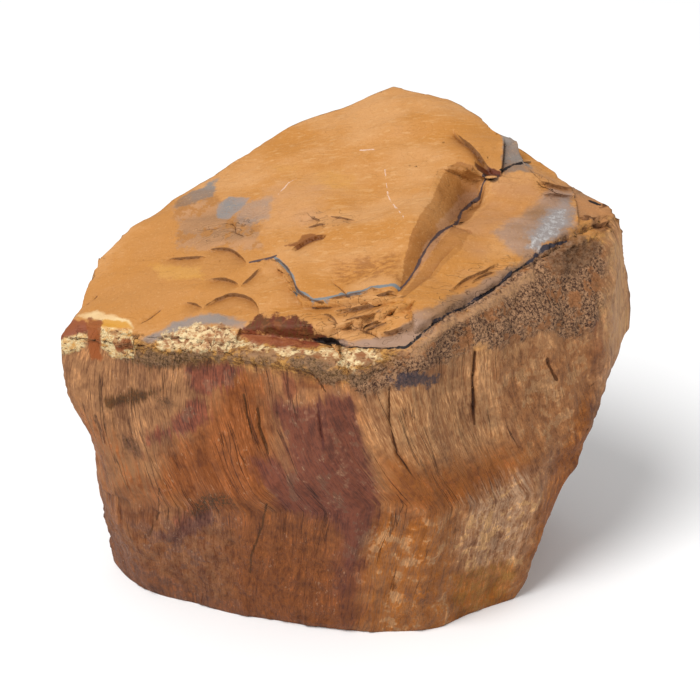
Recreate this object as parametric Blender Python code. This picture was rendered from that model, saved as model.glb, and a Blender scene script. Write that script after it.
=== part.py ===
"""Rough tiger's eye: one chunk of a fibrous quartz seam with a cap of ochre ironstone.

Metres, +Z up. The chunk stands on its flat base; the origin is at the middle of its foot.
The cap slopes down to the front left. The fibres stand below it, kinked at mid height.
"""

import math

import bmesh
import bpy
from mathutils import Matrix, Vector, noise

MM = 0.001

HEART = Vector((0.0, 0.0, 30.0)) * MM  # every break is measured out from here
START_BLOCK = 200 * MM

# The breaks that bound the chunk: which way each one faces in plan (degrees from +X), how far it
# leans (positive faces up, negative undercuts), and how far it lies from the heart, in mm.
BREAKS = {
    "cap_top": (-130.0, 67.8, 28.6),
    "cap_rim_left": (-120.2, 39.8, 32.4),
    "front_left": (-116.4, 11.4, 30.6),
    "front_corner": (-89.0, 3.0, 31.6),
    "front_right": (-57.0, 6.0, 31.2),
    "right_end": (-22.0, 4.0, 41.6),
    "right_undercut": (-4.0, -23.0, 36.6),
    "right_back": (38.0, -3.0, 37.2),
    "back_right": (46.6, 4.0, 31.7),
    "back_peak": (55.8, 5.0, 31.9),
    "back": (108.0, 10.0, 32.9),
    "back_left": (131.0, 9.0, 33.2),
    "left_end": (166.0, 5.0, 42.6),
    "left_waist": (175.0, -7.0, 42.9),
    "left_foot": (-153.0, -14.0, 44.1),
    "left_corner_foot": (-130.0, -14.0, 38.4),
    "front_left_foot": (-114.0, -12.0, 32.9),
    "front_middle_foot": (-103.0, -13.0, 31.1),
    "front_corner_foot": (-84.0, -12.0, 32.3),
    "front_right_foot": (-54.0, -8.0, 32.4),
    "back_foot": (84.0, -14.0, 30.5),
    "back_left_foot": (132.0, -18.0, 32.5),
    "base": (0.0, -90.0, 30.0),
}

# The scars where flakes have come away. Each takes off what lies outside all of its planes.
SCARS = {
    "right_cap": [(-82.9, 70.6, 31.0), (-58.2, 60.1, 32.5), (-101.3, -8.4, -13.7)],
    "behind_cap": [(-80.0, 70.0, 31.1), (36.4, 4.0, 30.4)],
    "behind_flake": [(-108.9, 70.6, 31.5), (-6.1, 0.0, 22.8)],
    "arrow_flake": [(-100.6, 76.4, 34.5), (60.0, 0.0, 10.0)],
    "red_recess": [(-106.3, -5.5, 20.6), (-110.0, 80.0, 22.0), (-164.7, 0.0, 8.4), (-8.9, 0.0, -14.0)],
    "right_rim": [(-53.4, 30.0, 35.9)],
    "right_ledge": [(-82.0, 70.2, 29.7), (-48.3, 0.0, 26.2)],
    "left_plate": [(-128.0, 66.0, 27.8), (-111.3, 0.0, 10.6), (-158.8, 0.0, 13.6)],
    "front_plate": [(-126.0, 66.5, 27.7), (-104.7, -3.0, 17.8), (180.0, 0.0, -8.5)],
    "tongue_step": [(-121.0, 65.0, 27.1), (-88.7, 0.0, 22.4), (180.0, 0.0, -9.5)],
    "back_spall": [(120.0, -4.0, 28.6), (62.0, 35.0, 29.5)],
    "back_ledge": [(84.0, 30.0, 29.0), (100.0, -10.0, 25.0), (-170.0, 10.0, -6.0)],
    "left_spall": [(150.0, 3.0, 37.0), (175.0, -60.0, 8.0)],
}

CAP_FACING = 0.6  # a face whose normal rises more steeply than this belongs to the cap

# How fine the faces are: the longest edge on the cap, on the sides and under the base.
CAP_EDGE = 2.5 * MM
SIDE_EDGE = 3.6 * MM
BASE_EDGE = 12.0 * MM
SPLIT_STEPS = [60, 42, 30, 21, 15, 10.5, 7.5, 5.3, 3.8, 0.0]  # mm, the longest edges first

# The fibres stand up from the foot, lean over to the right of the kink and stand up again.
KINK_HEIGHT = 24 * MM
KINK_TOP = 46 * MM
FIBRE_SHIFT = 9.5 * MM

# Relief: how far it moves the surface, and how wide one rise of it is.
LUMP = (1.2 * MM, 15 * MM)
RIB = (1.4 * MM, 6.5 * MM, 40 * MM)  # the last is along the fibres
RIPPLE = (0.8 * MM, 10 * MM)
TERRACE = (1.6 * MM, 12 * MM)
TERRACE_LEVELS = 3.0  # terraces on each side of the middle level
TERRACE_RISER = 0.25  # share of a terrace that its riser takes up
CHIP = (0.55 * MM, 6 * MM)
CHIP_FULL = math.radians(50)  # an edge this sharp is chipped in full
WAIST = (1.7 * MM, 7 * MM)  # how far the kink draws the left end in, over what height
WAIST_SPAN = (26 * MM, 38 * MM)  # the waist deepens between these distances to the left

SEED = Vector((3.7, 11.2, 5.9))


def facing(azimuth, lean):
    """Unit vector that points out of a break."""
    a, e = math.radians(azimuth), math.radians(lean)
    return Vector((math.cos(a) * math.cos(e), math.sin(a) * math.cos(e), math.sin(e)))


def cleave(block, plane, keep_outside=False):
    """Splits a solid along one plane, drops one half and closes the cut."""
    azimuth, lean, reach = plane
    normal = facing(azimuth, lean)
    cut = bmesh.ops.bisect_plane(
        block,
        geom=block.verts[:] + block.edges[:] + block.faces[:],
        plane_co=HEART + normal * reach * MM,
        plane_no=normal,
        clear_outer=not keep_outside,
        clear_inner=keep_outside,
    )
    edges = [e for e in cut["geom_cut"] if isinstance(e, bmesh.types.BMEdge)]
    bmesh.ops.contextual_create(block, geom=edges)


def cleft_object(name, planes, keep_outside=False):
    """A large cube cleft along each plane in turn, as an object."""
    block = bmesh.new()
    bmesh.ops.create_cube(block, size=START_BLOCK, matrix=Matrix.Translation(HEART))
    for plane in planes:
        cleave(block, plane, keep_outside)
    bmesh.ops.recalc_face_normals(block, faces=block.faces[:])
    mesh = bpy.data.meshes.new(name)
    block.to_mesh(mesh)
    block.free()
    solid = bpy.data.objects.new(name, mesh)
    bpy.context.scene.collection.objects.link(solid)
    return solid


def strike_off(stone, flakes):
    """Cuts the flakes out of the stone and removes them."""
    for flake in flakes:
        cut = stone.modifiers.new(flake.name, "BOOLEAN")
        cut.operation = "DIFFERENCE"
        cut.object = flake
    depsgraph = bpy.context.evaluated_depsgraph_get()
    whole = stone.data
    stone.data = bpy.data.meshes.new_from_object(stone.evaluated_get(depsgraph))
    stone.data.name = stone.name
    stone.modifiers.clear()
    bpy.data.meshes.remove(whole)
    for flake in flakes:
        bpy.data.objects.remove(flake)


def is_base(face):
    return face.normal.z < -0.999


def is_cap(face):
    return face.normal.z > CAP_FACING


def edge_limit(edge):
    """The longest that an edge may be, by the finest face beside it."""
    limits = []
    for face in edge.link_faces:
        if is_base(face):
            limits.append(BASE_EDGE)
        elif is_cap(face):
            limits.append(CAP_EDGE)
        else:
            limits.append(SIDE_EDGE)
    return min(limits)


def make_triangles(block):
    bmesh.ops.triangulate(block, faces=[f for f in block.faces if len(f.verts) > 3])


def refine(block):
    """Splits long edges, the longest first, until the faces are fine enough to carry relief."""
    bmesh.ops.remove_doubles(block, verts=block.verts, dist=0.05 * MM)
    make_triangles(block)
    for step in SPLIT_STEPS:
        while True:
            long_edges = [e for e in block.edges if e.calc_length() > max(step * MM, edge_limit(e))]
            if not long_edges:
                break
            bmesh.ops.subdivide_edges(block, edges=long_edges, cuts=1)
            make_triangles(block)
            flat = [e for e in block.edges if e.calc_face_angle(1.0) < 0.001]
            bmesh.ops.beautify_fill(block, faces=block.faces[:], edges=flat)


def smooth_noise(place, *widths):
    """Seeded noise from -1 to 1, stretched to the given widths."""
    return noise.noise(Vector(p / w for p, w in zip(place, widths)) + SEED)


def share(value, low, high):
    """0 below low, 1 above high, and in proportion between."""
    return min(max((value - low) / (high - low), 0.0), 1.0)


def fibre_lean(height):
    """How far the fibres have moved to the left of their foot at this height."""
    along = share(height, KINK_HEIGHT, KINK_TOP)
    return FIBRE_SHIFT * along * along * (3 - 2 * along)


def side_relief(place):
    """Ribs of fibres, on broad lumps."""
    across = Vector((place.x + fibre_lean(place.z), place.y, place.z))
    lump = LUMP[0] * smooth_noise(place, LUMP[1], LUMP[1], LUMP[1] * 1.5)
    rib = RIB[0] * smooth_noise(across, RIB[1], RIB[1], RIB[2])
    end = share(-place.x, *WAIST_SPAN)
    waist = WAIST[0] * end * math.exp(-(((place.z - KINK_HEIGHT) / WAIST[1]) ** 2))
    return lump + rib - waist


def cap_relief(place):
    """Shell-like ripples, and low terraces that follow the splitting of the cap."""
    ripple = RIPPLE[0] * smooth_noise(place, RIPPLE[1], RIPPLE[1] * 1.4, RIPPLE[1])
    level = smooth_noise(place, TERRACE[1] * 1.5, TERRACE[1], TERRACE[1]) * TERRACE_LEVELS
    step = math.floor(level) + min((level % 1.0) / TERRACE_RISER, 1.0)
    return ripple + TERRACE[0] * step / TERRACE_LEVELS


def weather(block):
    """Moves each point in or out by the relief of the surface that it is on."""
    block.normal_update()
    moves = {}
    for vert in block.verts:
        on_foot = any(is_base(f) for f in vert.link_faces)
        inside_foot = all(is_base(f) for f in vert.link_faces)
        if inside_foot:
            continue
        on_cap = any(is_cap(f) for f in vert.link_faces)
        relief = cap_relief(vert.co) if on_cap else side_relief(vert.co)
        edge = max(e.calc_face_angle_signed(0.0) for e in vert.link_edges)
        if edge > 0:
            chip = 0.5 + smooth_noise(vert.co, CHIP[1], CHIP[1], CHIP[1])
            relief -= CHIP[0] * chip * min(edge / CHIP_FULL, 1.0)
        move = vert.normal * relief
        if on_foot:
            move.z = 0.0
        moves[vert] = move
    for vert, move in moves.items():
        vert.co += move


def stand_on_origin(block):
    """Puts the foot on the ground, with the middle of the stone's outline over the origin."""
    xs = [v.co.x for v in block.verts]
    ys = [v.co.y for v in block.verts]
    zs = [v.co.z for v in block.verts]
    middle = Vector(((min(xs) + max(xs)) / 2, (min(ys) + max(ys)) / 2, min(zs)))
    bmesh.ops.translate(block, verts=block.verts, vec=-middle)


def ochre_stone():
    material = bpy.data.materials.new("ochre_stone")
    material.use_nodes = True
    shader = material.node_tree.nodes["Principled BSDF"]
    shader.inputs["Base Color"].default_value = (0.42, 0.19, 0.07, 1.0)
    shader.inputs["Roughness"].default_value = 0.75
    shader.inputs["Metallic"].default_value = 0.0
    return material


def main():
    for old in list(bpy.data.objects):
        bpy.data.objects.remove(old)
    stone = cleft_object("tigers_eye", BREAKS.values())
    flakes = [cleft_object(name, planes, True) for name, planes in SCARS.items()]
    strike_off(stone, flakes)
    block = bmesh.new()
    block.from_mesh(stone.data)
    refine(block)
    weather(block)
    make_triangles(block)
    stand_on_origin(block)
    block.to_mesh(stone.data)
    block.free()
    stone.data.materials.append(ochre_stone())
    stone.data.shade_smooth()
    stone.data.set_sharp_from_angle(angle=math.radians(28))


main()
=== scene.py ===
import math

import bmesh
import bpy
import numpy as np
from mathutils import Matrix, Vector, kdtree, noise
from mathutils.geometry import convex_hull_2d


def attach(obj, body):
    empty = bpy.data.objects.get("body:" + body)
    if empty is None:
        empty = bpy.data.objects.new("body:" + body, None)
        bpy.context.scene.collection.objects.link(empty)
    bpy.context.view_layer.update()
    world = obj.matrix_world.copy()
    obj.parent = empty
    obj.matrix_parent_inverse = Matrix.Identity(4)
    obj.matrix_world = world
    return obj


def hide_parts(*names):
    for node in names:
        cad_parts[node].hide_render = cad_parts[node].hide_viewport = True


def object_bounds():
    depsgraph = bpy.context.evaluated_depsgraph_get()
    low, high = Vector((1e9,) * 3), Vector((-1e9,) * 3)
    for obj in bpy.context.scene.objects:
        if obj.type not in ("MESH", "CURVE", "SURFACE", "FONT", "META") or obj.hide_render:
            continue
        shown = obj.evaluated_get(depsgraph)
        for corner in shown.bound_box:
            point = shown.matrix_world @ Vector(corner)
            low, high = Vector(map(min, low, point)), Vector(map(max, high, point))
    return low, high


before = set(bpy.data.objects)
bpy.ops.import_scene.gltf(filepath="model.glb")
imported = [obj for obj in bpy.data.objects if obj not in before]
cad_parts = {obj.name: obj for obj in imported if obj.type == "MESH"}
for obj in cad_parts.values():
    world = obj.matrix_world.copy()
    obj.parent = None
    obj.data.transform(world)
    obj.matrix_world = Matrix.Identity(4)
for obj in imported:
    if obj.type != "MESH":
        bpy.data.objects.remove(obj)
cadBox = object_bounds()

mm = 0.001
far = 9.0       # mm, further than the shade or the paint of any line reaches
print("frame loaded")


# measuring over the stone

def smoothStep(value, low, high):
    # 0 below low, 1 above high, eased between; works on numbers and arrays
    share = np.clip((value - low) / (high - low), 0.0, 1.0)
    return share * share * (3 - 2 * share)


def noiseOver(places, widths, seed, height=1.0):
    # smooth noise up to this height at each place, stretched to the widths along x, y and z
    wide = Vector([1 / width for width in widths])
    shift = Vector((seed, seed * 1.7, seed * 0.6))
    return height * np.array([noise.noise(Vector(p) * wide + shift) for p in places])


def terracesOver(places, height, levels, riser, widths, seed):
    # noise turned into flat steps with short risers
    level = noiseOver(places, widths, seed) * levels
    return height * (np.floor(level) + smoothStep(level % 1.0, 0.0, riser)) / levels


def pathDistance(flat, points):
    # how far each flat place is from a path, on which side, and how far along
    best = np.full(len(flat), np.inf)
    side = np.zeros(len(flat))
    along = np.zeros(len(flat))
    points = np.array(points, float)
    lengths = np.linalg.norm(points[1:] - points[:-1], axis=1)
    total = lengths.sum()
    done = 0.0
    for start, end, length in zip(points[:-1], points[1:], lengths):
        way = (end - start) / length
        rel = flat - start
        t = np.clip(rel @ way, 0.0, length)
        gap = rel - t[:, None] * way
        distance = np.hypot(gap[:, 0], gap[:, 1])
        turn = way[0] * rel[:, 1] - way[1] * rel[:, 0]
        nearer = distance < best
        best[nearer] = distance[nearer]
        side[nearer] = np.sign(turn[nearer])
        along[nearer] = (done + t[nearer]) / total
        done += length
    return best, side, along


def insideDistance(flat, outline):
    # distance to a closed outline: positive inside, negative outside
    closed = [*outline, outline[0]]
    distance = pathDistance(flat, closed)[0]
    inside = np.zeros(len(flat), bool)
    for (ax, ay), (bx, by) in zip(closed[:-1], closed[1:]):
        if ay != by:
            spans = (flat[:, 1] > ay) != (flat[:, 1] > by)
            crossing = ax + (flat[:, 1] - ay) * (bx - ax) / (by - ay)
            inside ^= spans & (flat[:, 0] < crossing)
    return np.where(inside, distance, -distance)


def taperOf(along, share):
    # 0 at both ends of a path, rising to 1 over this share of its length
    return smoothStep(np.minimum(along, 1 - along), 0.0, share)


def viewFrom(places, view):
    # the flat places that outlines are drawn on: cap from above, front from the front
    if view == "cap":
        return places[:, :2]
    if view == "front":
        return places[:, [0, 2]]
    # rim on a slanted plane, where the rise mixes depth and height
    rise = places[:, 1] * math.sin(rimSlant) + places[:, 2] * math.cos(rimSlant)
    return np.stack([places[:, 0], rise], axis=1)


def planTree(places, chosen):
    # finds the nearest of the chosen places, seen from above
    tree = kdtree.KDTree(len(chosen))
    for i in chosen:
        tree.insert((places[i, 0], places[i, 1], 0.0), i)
    tree.balance()
    return tree


def addObject(name, data):
    added = bpy.data.objects.new(name, data)
    bpy.context.scene.collection.objects.link(added)
    return added


# the forms that are scored into the stone, and what is painted on it

rimSlant = math.radians(25)      # how far the rim's slanted plane leans back


# every form has its measures first, in mm, and then the points of its line or outline

def ledge(drop, fade, *points, lined=True):
    return dict(drop=drop, fade=fade, points=points, lined=lined)


def crack(depth, width, *points):
    return dict(depth=depth, width=width, points=points)


def patch(tones, soft, ragged, strength, *outline, grain=None, crumbled=0.0):
    # soft and ragged are how wide and how uneven its edge is, in mm; crumbled is its share of crumb relief
    return dict(tones=tones.split(), soft=soft, ragged=ragged, strength=strength, outline=outline, grain=grain,
                crumbled=1.0 if grain == "crumb" else crumbled)


def seam(tone, width, ragged, *points):
    return dict(tone=tone, width=width, ragged=ragged, points=points)


# steps of the solid that are smoothed away, seen from above
easedSteps = {
    "left": dict(reach=7, width=2.6,
        points=[(-46, 6.4), (-40, 2.6), (-35, 0.6), (-30, -0.6), (-24, -3.2), (-17, -5.4)]),
    "right": dict(reach=6, width=2.4, points=[(25.5, 3.5), (29.5, 3.3), (33, 1.4), (37, 3.4)]),
}

# ledges on the cap, seen from above: the low side is on the right of the way the points go
capLedges = {
    "arcLeft": ledge(0.4, 2.2, (-29.6, -1.2), (-28, -1.5), (-25.3, -2.4), (-22.3, -3.4)),
    "shellArc": ledge(0.5, 3.5, (-22.8, -1.9), (-20.6, -2.2), (-18.6, -3.2), (-16.8, -5.4), (-15.9, -7.4)),
    "blueStep": ledge(0.4, 2, (-15.4, -6.9), (-11.6, -7.8), (-9.6, -11), (-8.7, -14.6), (-7.4, -17.6),
        (-5.2, -19.4), (-1.4, -20), (3, -20.9), (7.3, -21.9)),
    "vCrackLeft": ledge(0.5, 2.4, (-22.4, -8.2), (-19.8, -8.9), (-17.9, -10.2), (-16.9, -11.6)),
    "vCrackRight": ledge(0.4, 1.6, (-16.9, -11.6), (-15.4, -10.2), (-13.7, -8.6)),
    "bigShell": ledge(0.55, 3, (-22.8, -14.8), (-21.4, -12.9), (-18.4, -12.6), (-15.4, -14.2), (-14, -16.6),
        (-13.6, -18.6)),
    "chips": ledge(0.4, 1, (-25.6, -11.8), (-24, -12.6), (-22.4, -14.4)),
    "wedge": ledge(0.9, 0.9, (-9.2, -7.6), (-7.1, -5.8), (-5.4, -5.6), (-3.5, -6.1)),
    "smallA": ledge(0.3, 0.8, (-6.5, -0.8), (-4.5, -2.2)),
    "smallB": ledge(0.3, 0.9, (-3.5, -1.3), (-0.8, -2.6), (1.1, -4)),
    "smallC": ledge(0.3, 0.8, (-7, -3), (-4.8, -3.1), (-3.4, -3.7)),
    "flakyA": ledge(0.7, 1.5, (-2.6, -21), (0.6, -21.4), (3.4, -22.4), (5, -21.8), (7.8, -22.4)),
    "flakyB": ledge(0.5, 1, (-1.4, -23.4), (1, -23.4), (3, -24.2), (5.2, -23.6)),
    "flakyC": ledge(0.4, 0.9, (1, -25), (3.4, -24.6), (5.8, -25.2)),
    "flakyD": ledge(0.9, 1, (4.2, -26.4), (6.4, -27), (9.4, -26.4)),
    "flakyE": ledge(0.4, 0.9, (-4.4, -20.6), (-2.6, -22.2), (-1.6, -24.6)),
    "streakB": ledge(0.5, 1.1, (14.6, -21.2), (17.4, -18), (19.6, -17), (22.7, -14.2)),
    "streakC": ledge(0.4, 0.8, (18, -19), (20.2, -16.9), (22.4, -15.9)),
    "stepA": ledge(0.6, 1.2, (29.6, 3.2), (32.5, 3.2), (36, 3.8)),
    "stepB": ledge(0.5, 1.2, (30.4, 0.8), (32.6, 1.3), (35.8, 1.6)),
    "strip": ledge(-0.7, 1.4, (35.2, 4.6), (35.6, -1), (35.3, -6.6)),
    "knob": ledge(0.9, 1.6, (35.4, -3.4), (38.6, -3), (41.2, -1)),
    "arrowSide": ledge(0.9, 2, (16.6, 13.1), (18.4, 9.9), (20.2, 6.7), (23.7, 3.6)),
    "arrowTip": ledge(0.7, 1.5, (23.7, 3.6), (24.4, 6.4), (24.8, 10.8)),
    "facetEdge": ledge(0.35, 3, (17.1, -11.1), (13.6, -15.5), (10.4, -20.5), (7.4, -24.5), lined=False),
}

# a fold in the cap: its floor and brow lines, and how wide and deep it is at the two ends
capFold = {
    "floor": [(21.4, 4), (19.6, 2.2), (18, -0.6), (16.6, -5.4), (14, -9.4), (11.7, -13), (9, -18.1),
        (7.3, -21.6)],
    "brow": [(17.2, 5.8), (14.9, 4.6), (13.8, 1.3), (12.1, -4.4), (9.4, -11.3), (8.1, -15.7), (7.6, -21.7)],
    "leftWidth": (5.0, 0.7), "rightWidth": (3.6, 2.0), "depth": (1.7, 0.25), "start": 0.12,
}

# cracks on the cap
capCracks = {
    "crackA": crack(0.5, 0.3, (15.9, -6), (17.4, -7.4), (18.8, -9.3)),
    "crackB": crack(0.35, 0.25, (-23.6, 3.1), (-21.4, 2.7), (-19.1, 3)),
    "crackC": crack(0.4, 0.3, (-19.6, 4), (-18.4, 2.2), (-18.2, 0.6), (-16.4, -1.4)),
    "crackD": crack(0.4, 0.3, (-2.9, -15.1), (-1.6, -17.4), (-0.7, -19.6), (0.2, -21.7)),
    "crackE": crack(0.3, 0.25, (-32.8, -14.2), (-30.8, -13), (-28.9, -11.6)),
    "crackF": crack(0.3, 0.25, (-42, -5.6), (-40.8, -5.2), (-39.9, -4)),
    "crackG": crack(0.5, 0.35, (0.7, -23.4), (2.8, -25.6), (4.6, -27.6)),
}

# cracks down the front, seen from the front (x and z)
frontCracks = {
    "fibreA": crack(0.4, 0.3, (-15.9, 40.5), (-15.6, 37.3), (-14.6, 33.8)),
    "fibreB": crack(0.5, 0.35, (-13.9, 38.6), (-13.6, 35.8), (-12.2, 32.2)),
    "fibreC": crack(0.4, 0.35, (-4.7, 41.6), (-4.4, 38.6), (-3.8, 35.4)),
    "fibreD": crack(0.5, 0.4, (5.7, 46), (5.8, 40), (7, 34.6), (9.8, 30.4)),
    "fibreE": crack(0.7, 0.5, (18.7, 49.4), (18.4, 43.4), (18.9, 35.6)),
    "fibreF": crack(0.3, 0.3, (30.1, 43.2), (30.6, 41.8), (31.6, 39.6)),
    "rimCrack": crack(0.25, 0.4, (-6.8, 46.4), (-5, 45.4), (-3.5, 43.6)),
}

# where the cap is broken into small flakes, seen from above
flakyZones = [
    [(-9.0, -19.8), (-1.0, -20.4), (8.2, -22.0), (9.6, -27.8), (0.0, -28.6), (-7.0, -23.0)],
    [(11.0, -21.5), (17.0, -16.0), (24.6, -12.6), (26.0, -15.6), (14.0, -26.0)],
    [(-24.5, 4.2), (-16.2, 2.6), (-15.6, -1.6), (-23.2, 0.2)],
    [(-8.6, 0.4), (-1.6, -0.4), (1.6, -4.4), (-4.6, -5.0)],
    [(29.2, 4.8), (36.4, 4.6), (35.8, 0.2), (30.0, 0.0)],
]

# where the fibres are broken into lumps and pits, seen from the front (x and z)
rubbleZones = [
    [(-46, 15), (-34, 14), (-20, 19), (-4, 21), (0, 10), (-2, -4), (-44, -4)],
    [(19, 47), (42, 52), (44, 30), (34, 21), (27, 24), (25, 33)],
    [(13, 20), (22, 24), (32, 24), (34, 8), (24, -4), (4, -4), (6, 6)],
]

# patches of other colour on the cap, outlined from above (x and y in mm), painted in this order
capPatches = {
    "leftDeep": patch("deepOchre warmOchre", 4, 3, 0.95, (-46, -6), (-36, 6), (-29, 12), (-18, 8), (-15, 0),
        (-13, -12), (-26, -17), (-38, -14)),
    "rightTan": patch("tanShade deepOchre", 1.5, 2.5, 0.75, (13.7, -11.7), (23.7, 3.7), (30, 2.8),
        (35.3, 4.4), (33, -0.6), (26.4, -4.2), (22.8, -7.9), (19.6, -14.9), (13.3, -23.7), (9.5, -27.4),
        (7.9, -26.5)),
    "rosyMiddle": patch("rosy ochre", 2, 3, 0.7, (-14, 10), (-4, 9), (-5, -3), (-14, -2)),
    "amberTop": patch("amber ochre", 1.5, 2.5, 0.6, (-12, 14), (-2, 10), (2, 4), (-6, 8)),
    "stain": patch("stain scarpPink scarp", 0.7, 2.2, 0.9, (-29, 10.7), (-22, 10.5), (-17.6, 4.2),
        (-13.9, 0.9), (-13.7, -5), (-17.2, -3.6), (-23.7, -1.6), (-27.1, 0.7), (-28.5, 3), (-27.7, 5)),
    "yellow": patch("amber gold", 0.5, 1.4, 0.75, (-31.7, -1.8), (-29.3, -2.4), (-23.5, -5.4), (-23, -8.1),
        (-29, -6.1)),
    "greyLeft": patch("blueGrey stain", 0.4, 1, 0.85, (-28.6, 11.4), (-21.9, 15.6), (-22.3, 10.8),
        (-24.6, 9.3), (-28.4, 9.4)),
    "lilacLeft": patch("blueGrey lilac", 0.9, 1.6, 0.6, (-18.2, 7.6), (-12.6, 6.1), (-12.9, 1.1),
        (-15.8, 0.6), (-18.2, 3.8)),
    "crescent": patch("blueGrey lilac", 0.25, 0.5, 1, (-21.4, 5), (-21.4, 7.8), (-19.7, 9.8), (-16, 7.9),
        (-17.6, 5.8), (-19.5, 4.3)),
    # painted shade: the fold's steep face, darker as it faces away from the light
    "scarp": patch("scarp scarpDark", 0.12, 0.35, 0.8, (20.2, 4.1), (21.5, 3.9), (20.3, 3.7), (17.5, -1.7),
        (14.7, -9.2), (12.1, -13.7), (9.3, -18.2), (7.6, -21.7), (8.1, -15.7), (9.4, -11.3), (12.1, -4.4),
        (13.8, 1.3), (14.9, 4.6), (17.2, 5.8)),
    "scarpGroove": patch("scarpPink rosy", 0.3, 0.8, 0.8, (20.7, 3.6), (20.3, 3.7), (17.5, -1.7),
        (14.7, -9.2), (12.1, -13.7), (9.6, -17.7), (11.2, -13.6), (13.1, -9.9), (15.9, -2), (18.4, 3.3)),
    "facetShade": patch("scarpDark scarp", 0.15, 0.35, 0.65, (18.8, -8.5), (16, -6), (18.9, -3.5),
        (21.7, 4.2), (17.8, -1.4), (15, -9.3), (12.4, -13.6), (9.6, -18.2), (7.9, -21.7), (7.4, -24.5),
        (9.6, -21.6), (13.1, -17.3), (16.7, -13)),
    "arrow": patch("ochre deepOchre", 0.3, 0.5, 0.9, (16.6, 13.1), (20.2, 6.9), (23.7, 3.5), (24.4, 6.4),
        (24.8, 14)),
    "greyBehind": patch("stain blueGrey", 0.3, 0.9, 0.85, (24.6, 13), (28.9, 8.6), (29.1, 5), (26.3, 4.8),
        (24.2, 4.2)),
    "rightFlakes": patch("deepOchre rosy", 0.8, 1.4, 0.6, (28.4, 6.4), (35.6, 5), (34.6, 1.6), (29.6, 0.4)),
    "lilac": patch("lilac stain", 0.9, 1.2, 0.9, (22, -8.6), (26.3, -4.2), (29.4, -0.6), (31.5, 2.2),
        (34.9, 3.2), (34.9, -4.1), (34.5, -6.9), (31.9, -9.6), (29.2, -11.2), (27.4, -13.6), (24.6, -12.2)),
    "lilacCool": patch("lilac greyLilac", 1.2, 1.8, 0.9, (27, -8.6), (29.6, -4.6), (32, -0.8), (34, 1.6),
        (34.9, -2), (34, -6), (31, -9.6), (28, -11.2)),
    "rightEnd": patch("stain tanShade", 0.3, 0.8, 0.9, (35.3, 4.6), (35.6, -3.9), (39.2, -4), (43, -0.6),
        (42, 6)),
    "bigShellShade": patch("scarp deepOchre", 0.6, 0.6, 0.45, (-22.3, -14.6), (-21.2, -12.8), (-18.1, -12.9),
        (-14.9, -14.9), (-13.6, -17.2), (-19, -16.4)),
    "streakBand": patch("scarpDark deepOchre", 0.9, 2.2, 0.7, (-2.6, -12), (7.6, -14.6), (7.4, -19.3),
        (2, -17.6), (-1.8, -15.6), grain="streak"),
    "rimLilac": patch("lilac stain", 0.4, 0.8, 0.85, (0.6, -26.6), (7, -27.2), (11.7, -25.6), (17.6, -20.2),
        (24.2, -14.6), (24.6, -16.4), (12, -28.6), (4, -29.4)),
}

# thin seams and shadowed breaks on the cap
capSeams = {
    "scarpSeam": seam("seamGrey", 0.24, 0.22, *capFold["floor"]),
    "blueSeamWide": seam("blueGrey", 0.45, 0.35, (7.2, -21.1), (4.8, -20.6), (1.4, -20.4), (-1.4, -19.7)),
    "blueSeam": seam("blueGrey", 0.26, 0.22, (2, -20.5), (-1.9, -19.7), (-5.6, -18.9), (-8, -16.6),
        (-8.7, -13.8), (-10, -10.6), (-11.6, -7.8)),
    "seamEnd": seam("seamGrey", 0.26, 0.25, (-11.4, -7.7), (-13.6, -7.2), (-15.6, -7)),
    "scratchA": seam("scratch", 0.12, 0.3, (1.6, 13.7), (4.1, 12.4)),
    "scratchB": seam("scratch", 0.1, 0.25, (5.6, 7.8), (6, 1.9), (8.4, -8.5)),
    "scratchC": seam("scratch", 0.12, 0.3, (-11.6, 6.5), (-10, 9.5), (-8.6, 10.2)),
    # painted shadow of the knob's hole
    "holeShadow": seam("black", 0.5, 0.3, (38.1, 1.8), (39.3, 1.3)),
}

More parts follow.
